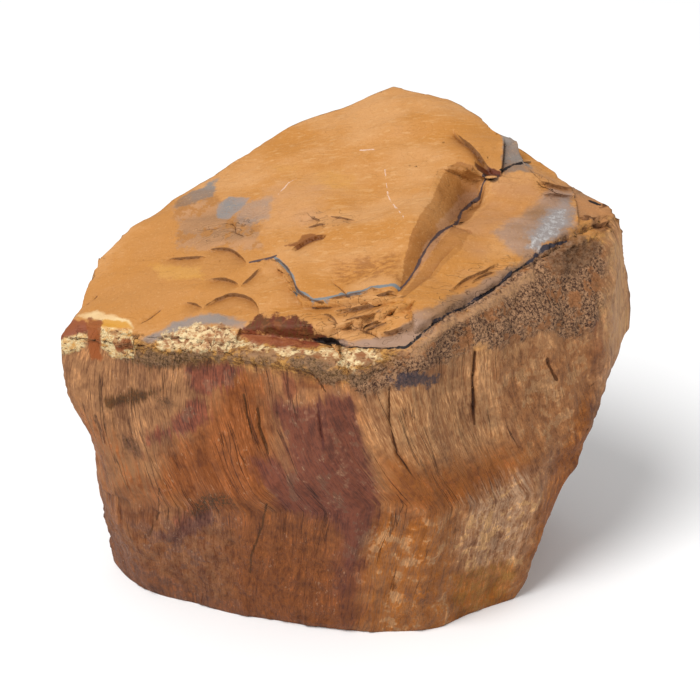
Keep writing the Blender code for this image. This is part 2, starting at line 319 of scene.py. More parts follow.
# patches on the front, outlined from the front (x and z in mm)
frontPatches = {
    "upperLeft": patch("khaki khakiLight", 3.5, 4, 0.85, (-50, 60), (-14, 60), (-18, 42), (-24, 33),
        (-30, 27), (-46, 30)),
    "leftMiddle": patch("khakiLight foxBrown", 2.5, 3, 0.85, (-46, 34), (-37, 30), (-32, 24), (-29, 20),
        (-36, 18), (-44, 22)),
    "orangeMiddle": patch("orangeBrown foxBrown", 2.5, 3.5, 0.95, (-20, 44), (-13, 44), (-11, 33), (-13, 24),
        (-20, 20), (-29, 22), (-29, 28), (-24, 33), (-21, 38)),
    "lowerLeft": patch("redBrown khaki duskPurple", 4.5, 5, 0.9, (-47, 16), (-33, 17), (-20, 23), (0, 24),
        (2, 10), (-2, -6), (-44, -6)),
    "lowerMiddle": patch("redBrown orangeBrown", 3, 3, 0.7, (-18, 25), (0, 25), (2, 10), (0, -6), (-20, -6)),
    "dusk": patch("duskPurple redBrown", 1.5, 2.5, 0.7, (-42, 8), (-33, 6), (-18, 2), (-14, -4), (-40, -4)),
    "rightUpper": patch("goldTan paleTan", 3.5, 4, 0.85, (2, 56), (20, 56), (34, 50), (36, 38), (26, 32),
        (8, 30), (3, 36)),
    "mottled": patch("warmTan goldTan paleTan", 3, 4, 0.85, (20, 44), (38, 46), (40, 34), (34, 24), (27, 24),
        (26, 32), grain="rubble"),
    "goldBand": patch("darkGold orangeBrown", 3, 3.5, 0.85, (4.6, 34.5), (13.5, 31), (27.5, 30), (28, 22.4),
        (20, 20.8), (5.5, 25.9)),
    "rightLower": patch("goldTan darkGold paleTan", 3, 3, 0.9, (2, 25), (20, 21), (30, 20), (34, 12),
        (26, -5), (2, -5)),
    "palePart": patch("warmTan glassy paleOchre", 3, 4, 0.95, (17, 17), (18.6, 23), (23.1, 25.4), (27.9, 25),
        (29.9, 19.1), (28.5, 10), (24.1, 4), (19, 7.2)),
    "mustard": patch("mustard darkGold", 0.9, 2, 0.75, (16, 9.5), (24.9, 8.7), (26.6, 5.9), (25, 0.5),
        (18.2, 0.2), (15.9, 4.2), grain="rubble"),
    "greyBlotch": patch("duskPurple darkGold", 0.6, 1.5, 0.6, (8.1, 9), (12.4, 8.6), (12, 6), (8, 6.6),
        grain="rubble"),
    "maroonMain": patch("maroon maroonDark duskPurple", 1.2, 2.6, 0.92, (-12, 40.4), (-5.6, 41.6),
        (-2.9, 43.2), (0.4, 44.2), (1.6, 38.3), (4.2, 27.8), (4.4, 24.5), (2.3, 17.1), (0.3, 8.4), (-2.5, 8),
        (-0.8, 18.9), (-3, 22.9), (-9.9, 22.6), (-13.6, 28.6), (-14.6, 30.7), (-11.3, 31.7), (-9, 30.6),
        (-10, 34.7)),
    "maroonLeft": patch("maroonDark maroon duskPurple", 0.8, 2.6, 0.95, (-25, 43.1), (-20.3, 45.2),
        (-16.4, 44.4), (-17.6, 41.4), (-21.9, 39.5), (-24.6, 37.6), (-26.5, 34.6), (-30.8, 31.4),
        (-31.2, 29.4), (-26, 32.6), (-21.6, 35.8), (-21.8, 38.9), (-24.4, 40)),
    "maroonFoot": patch("maroonDark redBrown", 0.9, 2, 0.7, (-2.6, 14), (0.6, 13), (0.4, 1), (-1.8, 1)),
    "maroonLow": patch("maroonDark maroon", 0.7, 1.8, 0.7, (-27.6, 17.4), (-24.4, 20.8), (-21.4, 20.6),
        (-23.2, 16.2), (-27, 14.6)),
    "darkKnot": patch("olive redBrown", 0.7, 3.2, 0.95, (-25.6, 18.6), (-22.4, 23.6), (-18.4, 25),
        (-16.8, 23.6), (-19.6, 22.4), (-22.4, 18.8), grain="grit"),
    "kneeSmear": patch("maroonDark duskPurple", 0.6, 2.2, 0.9, (-30.6, 13.4), (-28, 15.4), (-24, 18.6),
        (-21.6, 20.6), (-20.4, 18.8), (-24, 15.6), (-27.6, 12.6)),
    "smearA": patch("olive crumbDark", 0.5, 2.4, 0.9, (-38.2, 34.9), (-35.8, 35.5), (-32.4, 37.3),
        (-28.5, 39.4), (-29.1, 38), (-33.3, 35.4), (-37.4, 34), grain="grit"),
    "smearC": patch("olive khaki", 0.5, 2.2, 0.8, (-30.8, 37.4), (-27.4, 38.5), (-26.5, 37.5), (-29.2, 35.9),
        grain="grit"),
    "greySpots": patch("duskPurple olive", 0.5, 2.2, 0.7, (-35.8, 29.6), (-32.5, 28.6), (-32.4, 26.4),
        (-35.4, 27.2), grain="grit"),
    "smearB": patch("olive crumbDark", 0.6, 2.2, 0.8, (-31.1, 42.9), (-25.4, 45.2), (-19.8, 46.4),
        (-19.4, 44.8), (-25, 43.2), (-30.6, 41.6), grain="grit"),
    "orangeEdge": patch("orangeBrown darkGold", 1, 1.6, 0.7, (38.4, 36), (36, 34.4), (32.6, 26),
        (29.6, 16.3), (28.4, 8), (36, 8)),
    "endStrip": patch("khakiLight rosy scarpPink", 2, 2.5, 0.8, (40.6, 62), (40, 50), (39.3, 41), (38.6, 34),
        (50, 34), (50, 62)),
}

# dark hair cracks that follow the fibres on the front
frontSeams = {
    "fibreA": seam("darkBrown", 0.16, 0.3, *frontCracks["fibreA"]["points"]),
    "fibreB": seam("darkBrown", 0.2, 0.3, *frontCracks["fibreB"]["points"]),
    "fibreC": seam("maroonDark", 0.25, 0.35, *frontCracks["fibreC"]["points"]),
    "fibreD": seam("darkBrown", 0.16, 0.25, *frontCracks["fibreD"]["points"]),
    "fibreE": seam("darkBrown", 0.28, 0.35, *frontCracks["fibreE"]["points"]),
    "fibreF": seam("darkBrown", 0.2, 0.45, *frontCracks["fibreF"]["points"]),
    "rimCrack": seam("darkBrown", 0.2, 0.3, *frontCracks["rimCrack"]["points"]),
    "lowCrack": seam("darkBrown", 0.2, 0.3, (-12.6, 24.5), (-13.5, 19.5), (-15.2, 14), (-15.7, 9.7)),
    "lowCrackLeft": seam("darkBrown", 0.2, 0.35, (-29.5, 22.5), (-30.2, 17.5), (-32, 12.5)),
}

# patches along the rim, outlined on the slanted plane (x and rise in mm)
rimPatches = {
    "brownCrumbs": patch("crumbDark gold stain", 0.4, 1.8, 0.92, (-33.3, 34.9), (-28.2, 35.2), (-15.8, 35),
        (-1.6, 33.6), (3.7, 33), (8.6, 33.4), (9.4, 31), (4.9, 29.6), (1.2, 28.6), (-7.4, 30.1),
        (-19.8, 31.2), (-33.6, 31.2), grain="crumb"),
    "speckled": patch("grainDark grain warmTan", 0.9, 2.4, 0.95, (-0.4, 29), (5.2, 30.9), (8.6, 33.6),
        (12.3, 36.9), (17.1, 39.2), (21.5, 41.9), (24.2, 44.7), (26.8, 46.4), (29.5, 48.6), (33.3, 49.8),
        (38.7, 49.4), (42, 50.4), (41, 44.9), (38.6, 37.9), (35.8, 34.6), (29.3, 36), (24.1, 33.6),
        (18.7, 33.8), (13.6, 30.9), (6.1, 27.2), (0.3, 26.5), grain="grit", crumbled=0.8),
    "greyBand": patch("lilac blueGrey", 0.4, 0.6, 0.85, (-32.2, 34.7), (-28.9, 35.9), (-26.9, 37.2),
        (-23.1, 38.3), (-19.8, 38.4), (-15.6, 37.2), (-16, 36.2), (-19.7, 36.7), (-23.3, 36.5),
        (-26.2, 35.3), (-28.8, 34.2), (-31.5, 34)),
    "oliveLeft": patch("olive stain", 0.6, 2.4, 0.85, (-37.2, 32.5), (-28.9, 33), (-20.1, 33.2),
        (-19.7, 31.5), (-26.1, 30.9), (-29.8, 30.6), (-33.3, 31.1), grain="grit", crumbled=0.6),
    "oliveRight": patch("olive stain", 0.6, 2.4, 0.85, (-8.9, 32), (-5.5, 31.8), (-2.6, 30.6), (0, 29.4),
        (3.6, 30), (2.6, 28), (-4, 28.3), (-6.2, 29.5), (-8.6, 30.8), grain="grit", crumbled=0.6),
    "creamBand": patch("tanShade cream foxBrown", 0.4, 1.6, 0.95, (-28.6, 35.2), (-26.2, 36.2),
        (-23.6, 36.7), (-20, 36.6), (-17.3, 35.8), (-16.4, 34.7), (-14.1, 33.9), (-9.3, 33), (-4.3, 32.8),
        (-1, 32.9), (3.6, 32.6), (4.4, 31.6), (0.6, 30.3), (0, 29.9), (-2.6, 30.9), (-5.5, 31.7), (-9.3, 32),
        (-13.1, 32.6), (-16.3, 33.6), (-18.9, 32.9), (-23.4, 32.9), (-28.1, 32.8), (-29.9, 34),
        grain="crumb"),
    "cornerLens": patch("cream paleOchre", 0.25, 0.4, 0.95, (-43.6, 38.4), (-39.4, 39), (-34.1, 37.5),
        (-33.2, 36.2), (-38.6, 37.3)),
    "cornerMaroon": patch("maroon rust", 0.25, 0.5, 0.95, (-45.6, 37), (-43.4, 37.9), (-41.2, 37.4),
        (-40.6, 35.7), (-43.2, 34.2), (-45.6, 34.4)),
    "cornerCrumbs": patch("gold cream tanShade", 0.3, 0.8, 0.95, (-45.6, 34.4), (-41.2, 35.8), (-40.2, 34.5),
        (-41.7, 33), (-45.4, 32.2), grain="crumb"),
    "creamBlock": patch("gold cream tanShade", 0.25, 0.8, 0.95, (-38.8, 36.8), (-33.1, 36.1), (-32.9, 31.9),
        (-36.4, 31.6), (-38.7, 33.2), grain="crumb"),
    "amberStrip": patch("amber gold", 0.2, 0.4, 0.95, (-38.6, 37.8), (-34.4, 37.3), (-33.4, 36.2),
        (-38.6, 36.4)),
    "rust": patch("rust redBrown", 0.25, 0.9, 0.9, (-40.9, 37.9), (-38.4, 37.8), (-38.5, 31.6),
        (-40.4, 31.4)),
    "brick": patch("brick rust", 0.25, 0.7, 0.85, (-36.3, 34.2), (-33.4, 34.8), (-33.2, 33), (-35.9, 32.9),
        grain="crumb"),
    "redWall": patch("redWall darkBrown redBrown", 0.3, 1.3, 0.95, (-16, 36.2), (-13.6, 38.3), (-10.4, 38.1),
        (-8.7, 37.5), (-6.2, 37.3), (-5, 35.9), (-3.4, 34.9), (-1.2, 34.4), (0.3, 33.6), (-7.2, 34.1),
        (-12, 35), (-15.8, 35.7), grain="rubble"),
    "pinkLedge": patch("pinkLedge redWall", 0.3, 0.9, 0.8, (-17.2, 35.5), (-15.2, 36.1), (-12, 35.2),
        (-7.2, 34.4), (-4, 33.6), (-5.6, 32.8), (-10.3, 33), (-14.1, 33.8), (-16.3, 34.7)),
    # painted shadow at the deep end of the red recess
    "pocketShadow": patch("black maroonDark", 0.2, 0.3, 0.97, (-6.1, 34.8), (-3.1, 34.9), (-1.2, 34.4),
        (0.2, 33.5), (-4, 33.5)),
    # the arrow flake's underside: its own dark red, darkened further by painted shade
    "arrowUnder": patch("redWall darkBrown", 0.15, 0.3, 0.95, (19.8, 63.2), (22, 61.9), (23.9, 61.1),
        (23.8, 60.2), (22, 60.4), (20.4, 61.6)),
    "arrowShadow": patch("black darkBrown", 0.25, 0.4, 0.9, (20.4, 61.8), (22, 60.9), (23.7, 60.5),
        (23.4, 59.3), (22.2, 59.6)),
    # the wedge notch: its dark red, with painted shade in the pit
    "wedge": patch("redWall scarpDark", 0.15, 0.35, 0.9, (-3.7, 50.7), (-5.6, 50.9), (-7.3, 50.9),
        (-8.2, 49.7), (-10.4, 49), (-8.1, 48.9), (-5.9, 50)),
    # painted shadow of the knob's hole
    "holeShadow": patch("black darkBrown", 0.15, 0.3, 0.95, (39.3, 55.2), (40, 56), (41, 56), (40.4, 55.3)),
    "endStrip": patch("rosy paleOchre khakiLight", 1.4, 2.4, 0.8, (39.9, 50.5), (42.4, 52), (46.5, 53),
        (46.5, 41), (43, 32), (41, 31.9), (39.4, 35.2), (39.2, 42.2), grain="fibre"),
    # a chipped facet beside the silver patch: its own brown, darkened further by painted shade
    "brownZone": patch("crumbDark stain", 0.8, 2.2, 0.8, (33, 50), (35.2, 51.2), (38.9, 48.8), (36.1, 45.8),
        (32.7, 43.6), (30, 45.6), (29, 48.2), grain="crumb"),
    # a pale bluish patch, with its sparkle painted in as glints
    "silver": patch("greyLilac silver", 0.4, 1.2, 0.9, (26.7, 48.2), (27.5, 49.7), (29.4, 51.6),
        (31.1, 53.9), (33.1, 54.8), (33.5, 53.9), (32.7, 51.9), (31.5, 50.6), (29, 48.2), grain="spark"),
    "rimLilac": patch("lilac stain", 0.3, 0.5, 0.9, (-2.4, 34.3), (2.1, 34.2), (6.6, 35.6), (9, 37.3),
        (12.5, 37.5), (10.9, 35), (8.4, 33.3), (1.2, 33.1)),
    "rimLilacRight": patch("lilac stain", 0.3, 0.5, 0.85, (15.2, 39.7), (20.5, 42.9), (24.2, 45.1),
        (26.6, 46.8), (27.1, 46), (22.5, 42.1), (17.1, 39), (13.5, 37.4)),
    "tanStripe": patch("grain paleTan", 0.3, 0.9, 0.75, (8.2, 32.9), (12.8, 36.1), (17, 38.4), (22.2, 41.2),
        (27.7, 45), (28.3, 44), (22.1, 39.7), (17, 37.4), (13, 34.9), (9.3, 31.7), grain="grit"),
    "blackPatch": patch("inkBlue seamGrey", 0.4, 1.8, 0.9, (5.1, 28.8), (7.3, 29.7), (11, 29.7),
        (13.6, 29.4), (12.7, 28), (9.5, 27.3), (7, 27.1), grain="grit"),
}

# thin dark lines along the rim
rimSeams = {
    "edgeLine": seam("black", 0.24, 0.3, (-3, 34.6), (-0.4, 33.2), (3.7, 33), (8.2, 33.3), (12.3, 36.8),
        (17.1, 39.1), (21.5, 41.8), (24.2, 44.6), (26.8, 46.2)),
    "edgeBlue": seam("inkBlue", 0.26, 0.4, (12.3, 37.1), (17.1, 39.5), (21.5, 42.2), (24.2, 44.9)),
    "edgeGrey": seam("inkBlue", 0.3, 0.5, (26.8, 46.2), (29.5, 48.5), (33.3, 49.6)),
    # painted shadow under the slab behind the arrow flake
    "gap": seam("black", 0.32, 0.3, (23.9, 61.4), (24.9, 62.1), (26.1, 62.6), (29, 63.1)),
}

# what is painted in each view
patches = {"cap": capPatches, "front": frontPatches, "rim": rimPatches}
seams = {"cap": capSeams, "front": frontSeams, "rim": rimSeams}


# the stone's mesh

stoneMesh = {
    "weld": 0.02,               # mm, joins the loose triangles of the solid
    "crease": 30,               # degrees, sharper edges stay sharp
    "shadeCrease": 38,          # degrees, sharper edges are shaded sharp
    "capRise": 0.75,            # a face whose normal rises more than this is cap
    # azimuth, lean and reach of the cap's plane, and the height in mm that the reach is measured from
    "capPlane": (math.radians(-130), math.radians(67.8), 28.6), "heart": 30,
    # mm, deepest scar on the left and on the right, and the x of each
    "capReach": (3.2, 10.5), "capReachSpan": (6.0, 20.0),
    "capInset": 2.2,            # mm, further in than this every wall is cap
    "wallReach": 4.0,           # mm, if it goes no further than this under the deepest scar
    "capDepth": 0.8,            # mm, a place less far below the cap belongs to it
    # normals of the faces that lines are scored on, and how far round a line they lie, mm
    "scoreRise": 0.55, "scoreFront": -0.25, "scoreMargin": 1.2, "scoreReach": 2.5, "scoreGrip": 0.01,
    # mm, longest edges: within a little of a painted seam, on the cap and the front, elsewhere, under the foot
    "lineEdge": 0.40, "lineReach": 0.6, "fineEdge": 0.70, "plainEdge": 1.15, "baseEdge": 4.0,
    "fineRise": 0.5, "fineFront": -0.3, "baseRise": -0.99,      # normals of those faces
    "passes": (2.6, 1.8, 1.35, 1.0),                            # the longest edges are halved first
    "riser": 0.12,              # mm, width of a ledge's riser
    # where steps are eased: longest edge and lowest place, mm, and how steeply a face may hang
    "easeEdge": 1.0, "easeFloor": 40, "easeRise": -0.5,
    "easeSplits": 3, "easeTurns": 2, "smoothTurns": 6,
    "easeLeast": 0.02, "easeLoose": 0.2,    # mm moved, and the rise of a normal, that smoothing starts at
    "wallFade": 4.0,            # mm, how far down the wall follows the cap's edge
}


def makeTriangles(block):
    bmesh.ops.triangulate(block, faces=[f for f in block.faces if len(f.verts) > 3])


def splitEdges(block, edges):
    bmesh.ops.subdivide_edges(block, edges=edges, cuts=1)
    makeTriangles(block)


def startMesh():
    # the solid's own triangles, joined and rounded a little between its sharp edges
    block = bmesh.new()
    block.from_mesh(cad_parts["tigers_eye"].data)
    bmesh.ops.remove_doubles(block, verts=block.verts, dist=stoneMesh["weld"] * mm)
    crease = block.edges.layers.float.new("crease_edge")
    limit = math.radians(stoneMesh["crease"])
    for edge in block.edges:
        edge[crease] = 1.0 if edge.calc_face_angle(0.0) > limit else 0.0
    mesh = bpy.data.meshes.new("rounded")
    block.to_mesh(mesh)
    block.free()
    holder = addObject("rounded", mesh)
    rounding = holder.modifiers.new("rounding", "SUBSURF")
    rounding.levels = rounding.render_levels = 1
    rounded = bpy.data.meshes.new_from_object(holder.evaluated_get(bpy.context.evaluated_depsgraph_get()))
    bpy.data.objects.remove(holder)
    bpy.data.meshes.remove(mesh)
    block = bmesh.new()
    block.from_mesh(rounded)
    bpy.data.meshes.remove(rounded)
    return block


def scorePath(block, points, fromAbove=True, offset=0.0):
    # cuts the faces along a path, so that a ledge or a crack has edges of its own
    margin = stoneMesh["scoreMargin"] * mm
    for start, end in zip(points[:-1], points[1:]):
        if fromAbove:
            a, b, depthAxis = Vector((*start, 0)) * mm, Vector((*end, 0)) * mm, Vector((0, 0, 1))
            faces = [f for f in block.faces if f.normal.z > stoneMesh["scoreRise"]]
        else:
            a, b = Vector((start[0], 0, start[1])) * mm, Vector((end[0], 0, end[1])) * mm
            depthAxis = Vector((0, 1, 0))
            faces = [f for f in block.faces if f.normal.y < stoneMesh["scoreFront"]]
        way = (b - a).normalized()
        across = way.cross(depthAxis)
        length = (b - a).length
        geometry = set()
        for face in faces:
            rel = face.calc_center_bounds() - a
            beside = abs(rel.dot(across)) < stoneMesh["scoreReach"] * mm
            if beside and -margin < rel.dot(way) < length + margin:
                geometry.update([face, *face.edges, *face.verts])
        bmesh.ops.bisect_plane(block, geom=list(geometry), dist=stoneMesh["scoreGrip"] * mm,
                               plane_co=a + across * offset * mm, plane_no=across)


def seamGap(places):
    # how far each place is from the nearest painted seam
    gap = np.full(len(places), far)
    for view in seams:
        flat = viewFrom(places, view)
        for line in seams[view].values():
            gap = np.minimum(gap, pathDistance(flat, line["points"])[0])
    return gap


def edgeLimit(edge, gap):
    # the longest that an edge may be, by the finest face beside it
    limits = []
    for face in edge.link_faces:
        if face.normal.z < stoneMesh["baseRise"]:
            limits.append(stoneMesh["baseEdge"])
        elif face.normal.z > stoneMesh["fineRise"] or face.normal.y < stoneMesh["fineFront"]:
            limits.append(stoneMesh["lineEdge"] if gap < stoneMesh["lineReach"] else stoneMesh["fineEdge"])
        else:
            limits.append(stoneMesh["plainEdge"])
    return min(limits) * mm


def refine(block):
    makeTriangles(block)
    for share in stoneMesh["passes"]:
        block.normal_update()
        middles = np.array([(e.verts[0].co + e.verts[1].co) / 2 for e in block.edges]) / mm
        gaps = seamGap(middles)
        longEdges = [e for e, gap in zip(block.edges, gaps) if e.calc_length() > edgeLimit(e, gap) * share]
        if longEdges:
            splitEdges(block, longEdges)


def capHeights(places, normals):
    # for each place, how far it is below the cap that is nearest to it in plan
    azimuth, lean, reach = stoneMesh["capPlane"]
    facing = np.array([math.cos(azimuth) * math.cos(lean), math.sin(azimuth) * math.cos(lean), math.sin(lean)])
    under = reach - (places - np.array([0, 0, stoneMesh["heart"]])) @ facing
    left, right = stoneMesh["capReach"]
    reachHere = left + (right - left) * smoothStep(places[:, 0], *stoneMesh["capReachSpan"])
    capPoints = np.nonzero((normals[:, 2] > stoneMesh["capRise"]) & (under < reachHere))[0]
    tree = planTree(places, capPoints)
    nearest = np.array([tree.find((p[0], p[1], 0.0))[1] for p in places])
    below = places[nearest, 2] - places[:, 2]
    hull = convex_hull_2d([Vector(places[i, :2]) for i in capPoints])
    outline = [tuple(places[capPoints[i], :2]) for i in hull]
    inner = insideDistance(places[:, :2], outline) > stoneMesh["capInset"]
    inner &= under < right + stoneMesh["wallReach"]
    return np.where(inner, np.minimum(below, 0.0), below)


def fittedLift(places, top, step):
    # how far each place rises to lie on a plane fitted to the cap around it
    flat = places[:, :2]
    distance = pathDistance(flat, step["points"])[0]
    near = np.nonzero(top & (distance < step["reach"]))[0]
    around = np.nonzero(top & (distance < step["reach"] + 2 * step["width"]))[0]
    apart = ((flat[near, None] - flat[None, around]) ** 2).sum(axis=2)
    weight = np.exp(-apart / (2 * step["width"] ** 2))
    spread = np.column_stack([np.ones(len(around)), flat[around]])
    moments = weight @ (spread[:, :, None] * spread[:, None, :]).reshape(-1, 9)
    totals = weight @ (spread * places[around, 2:])
    planes = np.linalg.solve(moments.reshape(-1, 3, 3), totals[:, :, None])[:, :, 0]
    wanted = planes[:, 0] + (planes[:, 1:] * flat[near]).sum(axis=1)
    lift = np.zeros(len(places))
    lift[near] = (wanted - places[near, 2]) * smoothStep(distance[near], step["reach"], step["reach"] * 0.5)
    return lift


def coarseAround(block, step):
    # the long edges of the cap and the wall's top around a step
    edges = []
    for edge in block.edges:
        spot = edge.verts[0].co
        high = spot.z > stoneMesh["easeFloor"] * mm and edge.calc_length() > stoneMesh["easeEdge"] * mm
        if high and edge.link_faces and edge.link_faces[0].normal.z > stoneMesh["easeRise"]:
            if pathDistance(np.array([spot[:2]]) / mm, step["points"])[0][0] < step["reach"]:
                edges.append(edge)
    return edges


def easeSteps(block):
    # fits the cap smoothly over the eased steps; the wall's top follows its edge
    for step in easedSteps.values():
        for turn in range(stoneMesh["easeSplits"]):
            splitEdges(block, coarseAround(block, step))
    fade = stoneMesh["wallFade"]
    for turn in range(stoneMesh["easeTurns"]):
        block.normal_update()
        block.verts.ensure_lookup_table()
        places = np.array([v.co for v in block.verts]) / mm
        below = capHeights(places, np.array([v.normal for v in block.verts]))
        top = below < stoneMesh["capDepth"]
        lift = sum(fittedLift(places, top, step) for step in easedSteps.values())
        tree = planTree(places, np.nonzero(top)[0])
        for i in np.nonzero(~top & (below < 3 * fade))[0]:
            nearest = tree.find((places[i, 0], places[i, 1], 0.0))[1]
            lift[i] = lift[nearest] * math.exp(-max(below[i], 0.0) / fade)
        moved = [block.verts[i] for i in np.nonzero(np.abs(lift) > stoneMesh["easeLeast"])[0]]
        for i in np.nonzero(lift)[0]:
            block.verts[i].co.z += lift[i] * mm
        loose = [v for v in moved if v.normal.z > stoneMesh["easeLoose"] or below[v.index] <= 0]
        for smoothing in range(stoneMesh["smoothTurns"]):
            bmesh.ops.smooth_vert(block, verts=loose, factor=0.5,
                                  use_axis_x=True, use_axis_y=True, use_axis_z=True)
    bmesh.ops.remove_doubles(block, verts=block.verts, dist=stoneMesh["weld"] * mm)
    bmesh.ops.dissolve_degenerate(block, edges=block.edges, dist=stoneMesh["weld"] * mm)
    makeTriangles(block)


def curved(points):
    # the path with its corners cut once, a quarter of the way along each side
    path = [Vector(point) for point in points]
    rounded = [path[0]]
    for start, end in zip(path[:-1], path[1:]):
        rounded += [start.lerp(end, 0.25), start.lerp(end, 0.75)]
    return [tuple(point) for point in rounded[:1] + rounded[2:-1] + path[-1:]]


def shapeStone():
    block = startMesh()
    print("solid rounded:", len(block.faces), "faces")
    easeSteps(block)
    print("steps eased:", len(block.faces), "faces")
    for form in capLedges.values():
        scorePath(block, curved(form["points"]))
        scorePath(block, curved(form["points"]), offset=stoneMesh["riser"])
    scorePath(block, capFold["floor"])
    scorePath(block, capFold["brow"])
    for form in capCracks.values():
        scorePath(block, form["points"])
    for form in frontCracks.values():
        scorePath(block, form["points"], fromAbove=False)
    print("ledges and cracks scored:", len(block.faces), "faces")
    refine(block)
    bmesh.ops.recalc_face_normals(block, faces=block.faces)
    mesh = bpy.data.meshes.new("roughStone")
    block.to_mesh(mesh)
    block.free()
    print("refined:", len(mesh.polygons), "triangles")
    return mesh


def meshArrays(mesh):
    places = np.empty(len(mesh.vertices) * 3)
    mesh.vertices.foreach_get("co", places)
    normals = np.empty(len(mesh.vertices) * 3)
    mesh.vertex_normals.foreach_get("vector", normals)
    return places.reshape(-1, 3) / mm, normals.reshape(-1, 3)


# how the fibres run: upright, then off to the right down to the kink, then nearly upright again
fibreRun = {
    "kink": [(-45, 18), (-35, 18.5), (-26, 20), (-14, 22.5), (-3, 24), (7, 26.5), (15, 23.5), (22, 21.5),
        (45, 20)],              # x and height of the kink, mm
    "bendHeight": 24.0,         # the bend reaches this far above the kink
    "shift": 9.5,               # how far it carries the fibres
    "backLean": 0.12,           # slope below the kink
    "wobble": dict(widths=(5.0, 5.0, 7.0), seed=7.7, height=0.55),
    "centre": (0.0, 6.0), "radius": 38.0,   # mm, the round that the fibres are laid out on
}


def kinkHeightAt(x):
    return np.interp(x, *zip(*fibreRun["kink"]))


def fibreLean(x, z):
    # how far a fibre at this height has moved to the left of its kink
    above = z - kinkHeightAt(x)
    rest = 1 - np.clip(above / fibreRun["bendHeight"], 0.0, 1.0)
    bend = fibreRun["shift"] * (1 - rest * rest)
    return bend - fibreRun["backLean"] * np.minimum(above, 0.0)


def fibreLayout(places):
    # each fibre keeps its own spot on a round, however the wall slopes
    centre = fibreRun["centre"]
    lean = fibreLean(places[:, 0], places[:, 2])
    lean += noiseOver(places, **fibreRun["wobble"])
    alongX = places[:, 0] + lean - centre[0]
    alongY = places[:, 1] - centre[1]
    scale = fibreRun["radius"] / np.maximum(np.hypot(alongX, alongY), 1.0)
    return np.stack([alongX * scale, alongY * scale, places[:, 2]], axis=1)


# relief, in mm
relief = {
    # stepped: how high and how many the steps are, and the share of one that its riser takes up
    "capStep": dict(height=0.30, levels=2.6, riser=0.18, widths=(11.0, 4.2, 8.0), seed=3.1),
    "bundle": dict(height=0.30, levels=1.6, riser=0.6, widths=(1.7, 1.7, 42.0), seed=1.3),
    "splinter": dict(height=0.30, levels=1.6, riser=0.25, widths=(2.6, 2.6, 12.0), seed=6.4),
    "rubble": dict(height=0.42, levels=2.2, riser=0.4, widths=(2.4, 2.4, 2.8), seed=11.2),
    # smooth
    "capFine": dict(height=0.07, widths=(1.6, 1.6, 1.6), seed=5.2),
    "strand": dict(height=0.15, widths=(0.8, 0.8, 16.0), seed=8.8),
    "lump": dict(height=0.5, widths=(2.6, 2.6, 2.6), seed=4.1),
    "crumb": dict(widths=(1.1, 1.1, 1.1), seed=2.7), "crumbHeight": 0.38,
    "fold": dict(widths=(7.0, 7.0, 16.0), seed=4.6), "foldHeight": 0.8, "foldShift": 0.3,
    # where lumps take the place of fibres
    "rubbleEdge": dict(height=3.0, widths=(5.0, 5.0, 5.0), seed=3.4), "rubbleInside": (-1.5, 3.0),
    "rubbleBehind": dict(widths=(14.0, 14.0, 12.0), seed=5.9), "rubbleSpread": (-0.05, 0.30),
    "fibresInRubble": 0.5,
    # the step back under the kink on the left, where it starts and ends across the front
    "shelf": 0.45, "shelfFade": 5.0, "shelfEdge": 0.9, "shelfSpan": (-32.0, -22.0),
    "shelfWave": dict(height=3.0, widths=(4.0, 4.0, 4.0), seed=2.2),
    # lines: the share of each at both ends over which it tapers
    "ledgeTaper": 0.12, "shadeTaper": 0.3, "lineTaper": 0.4, "capCrackTaper": 0.15, "frontCrackTaper": 0.2,
    "lineThin": 0.25, "lineStart": 0.07, "lineSwell": 0.12,     # how a shadow line thins out at its ends
    # how far the shade under a ledge reaches; a ledge this high casts it in full, a higher one up to this share
    "ledgeShade": 1.1, "shadeDrop": 0.5, "shadeMost": 1.4,
    # crumbs, from the edge of their patches and, away from the front rim, below the cap
    "crumbInside": (-0.4, 0.6), "crustDepth": (0.4, 3.4), "crustFade": (0.5, 2.0),
    # which way a face looks, and where the front rim is
    "capFacing": 0.3, "frontFacing": (0.15, 0.4), "rimFacing": (0.0, 0.3),
    "rimDepth": (-14.0, -8.0), "rimHeight": (36.0, 40.0),
    "footFade": 0.4, "footFlat": 0.02,
}


def rubbleShare(places, front):
    # 1 in the lumpy zones, and in wide patches round the ends and the back
    flat = viewFrom(places, "front")
    inside = np.max([insideDistance(flat, zone) for zone in rubbleZones], axis=0)
    onFront = smoothStep(inside + noiseOver(places, **relief["rubbleEdge"]), *relief["rubbleInside"])
    behind = smoothStep(noiseOver(places, **relief["rubbleBehind"]), *relief["rubbleSpread"])
    return front * onFront + (1 - front) * behind


def crackRelief(flat, form, ends):
    # how deep a crack is at each place, and how far its shadow line is
    distance, side, along = pathDistance(flat, form["points"])
    taper = taperOf(along, ends)
    deep = form["depth"] * taper * np.clip(1 - distance / form["width"], 0.0, 1.0)
    return deep, distance + relief["lineThin"] * (1 - taper)


def ledgeRelief(flat, form):
    # how far a ledge drops, how far its shadow line is, and how much shade it casts
    distance, side, along = pathDistance(flat, curved(form["points"]))
    low = smoothStep(np.where(side < 0, distance, 0.0), 0.0, stoneMesh["riser"])
    taper = taperOf(along, relief["ledgeTaper"])
    drop = form["drop"] * low * taper * np.exp(-distance / form["fade"])
    middle = taperOf(along, relief["lineTaper"])
    line = distance + relief["lineThin"] * (1 - taper) + relief["lineStart"] - relief["lineSwell"] * middle
    cast = taperOf(along, relief["shadeTaper"]) * np.exp(-distance / relief["ledgeShade"])
    shade = low * cast * min(form["drop"] / relief["shadeDrop"], relief["shadeMost"])
    return drop, line if form["lined"] else np.full(len(flat), far), shade


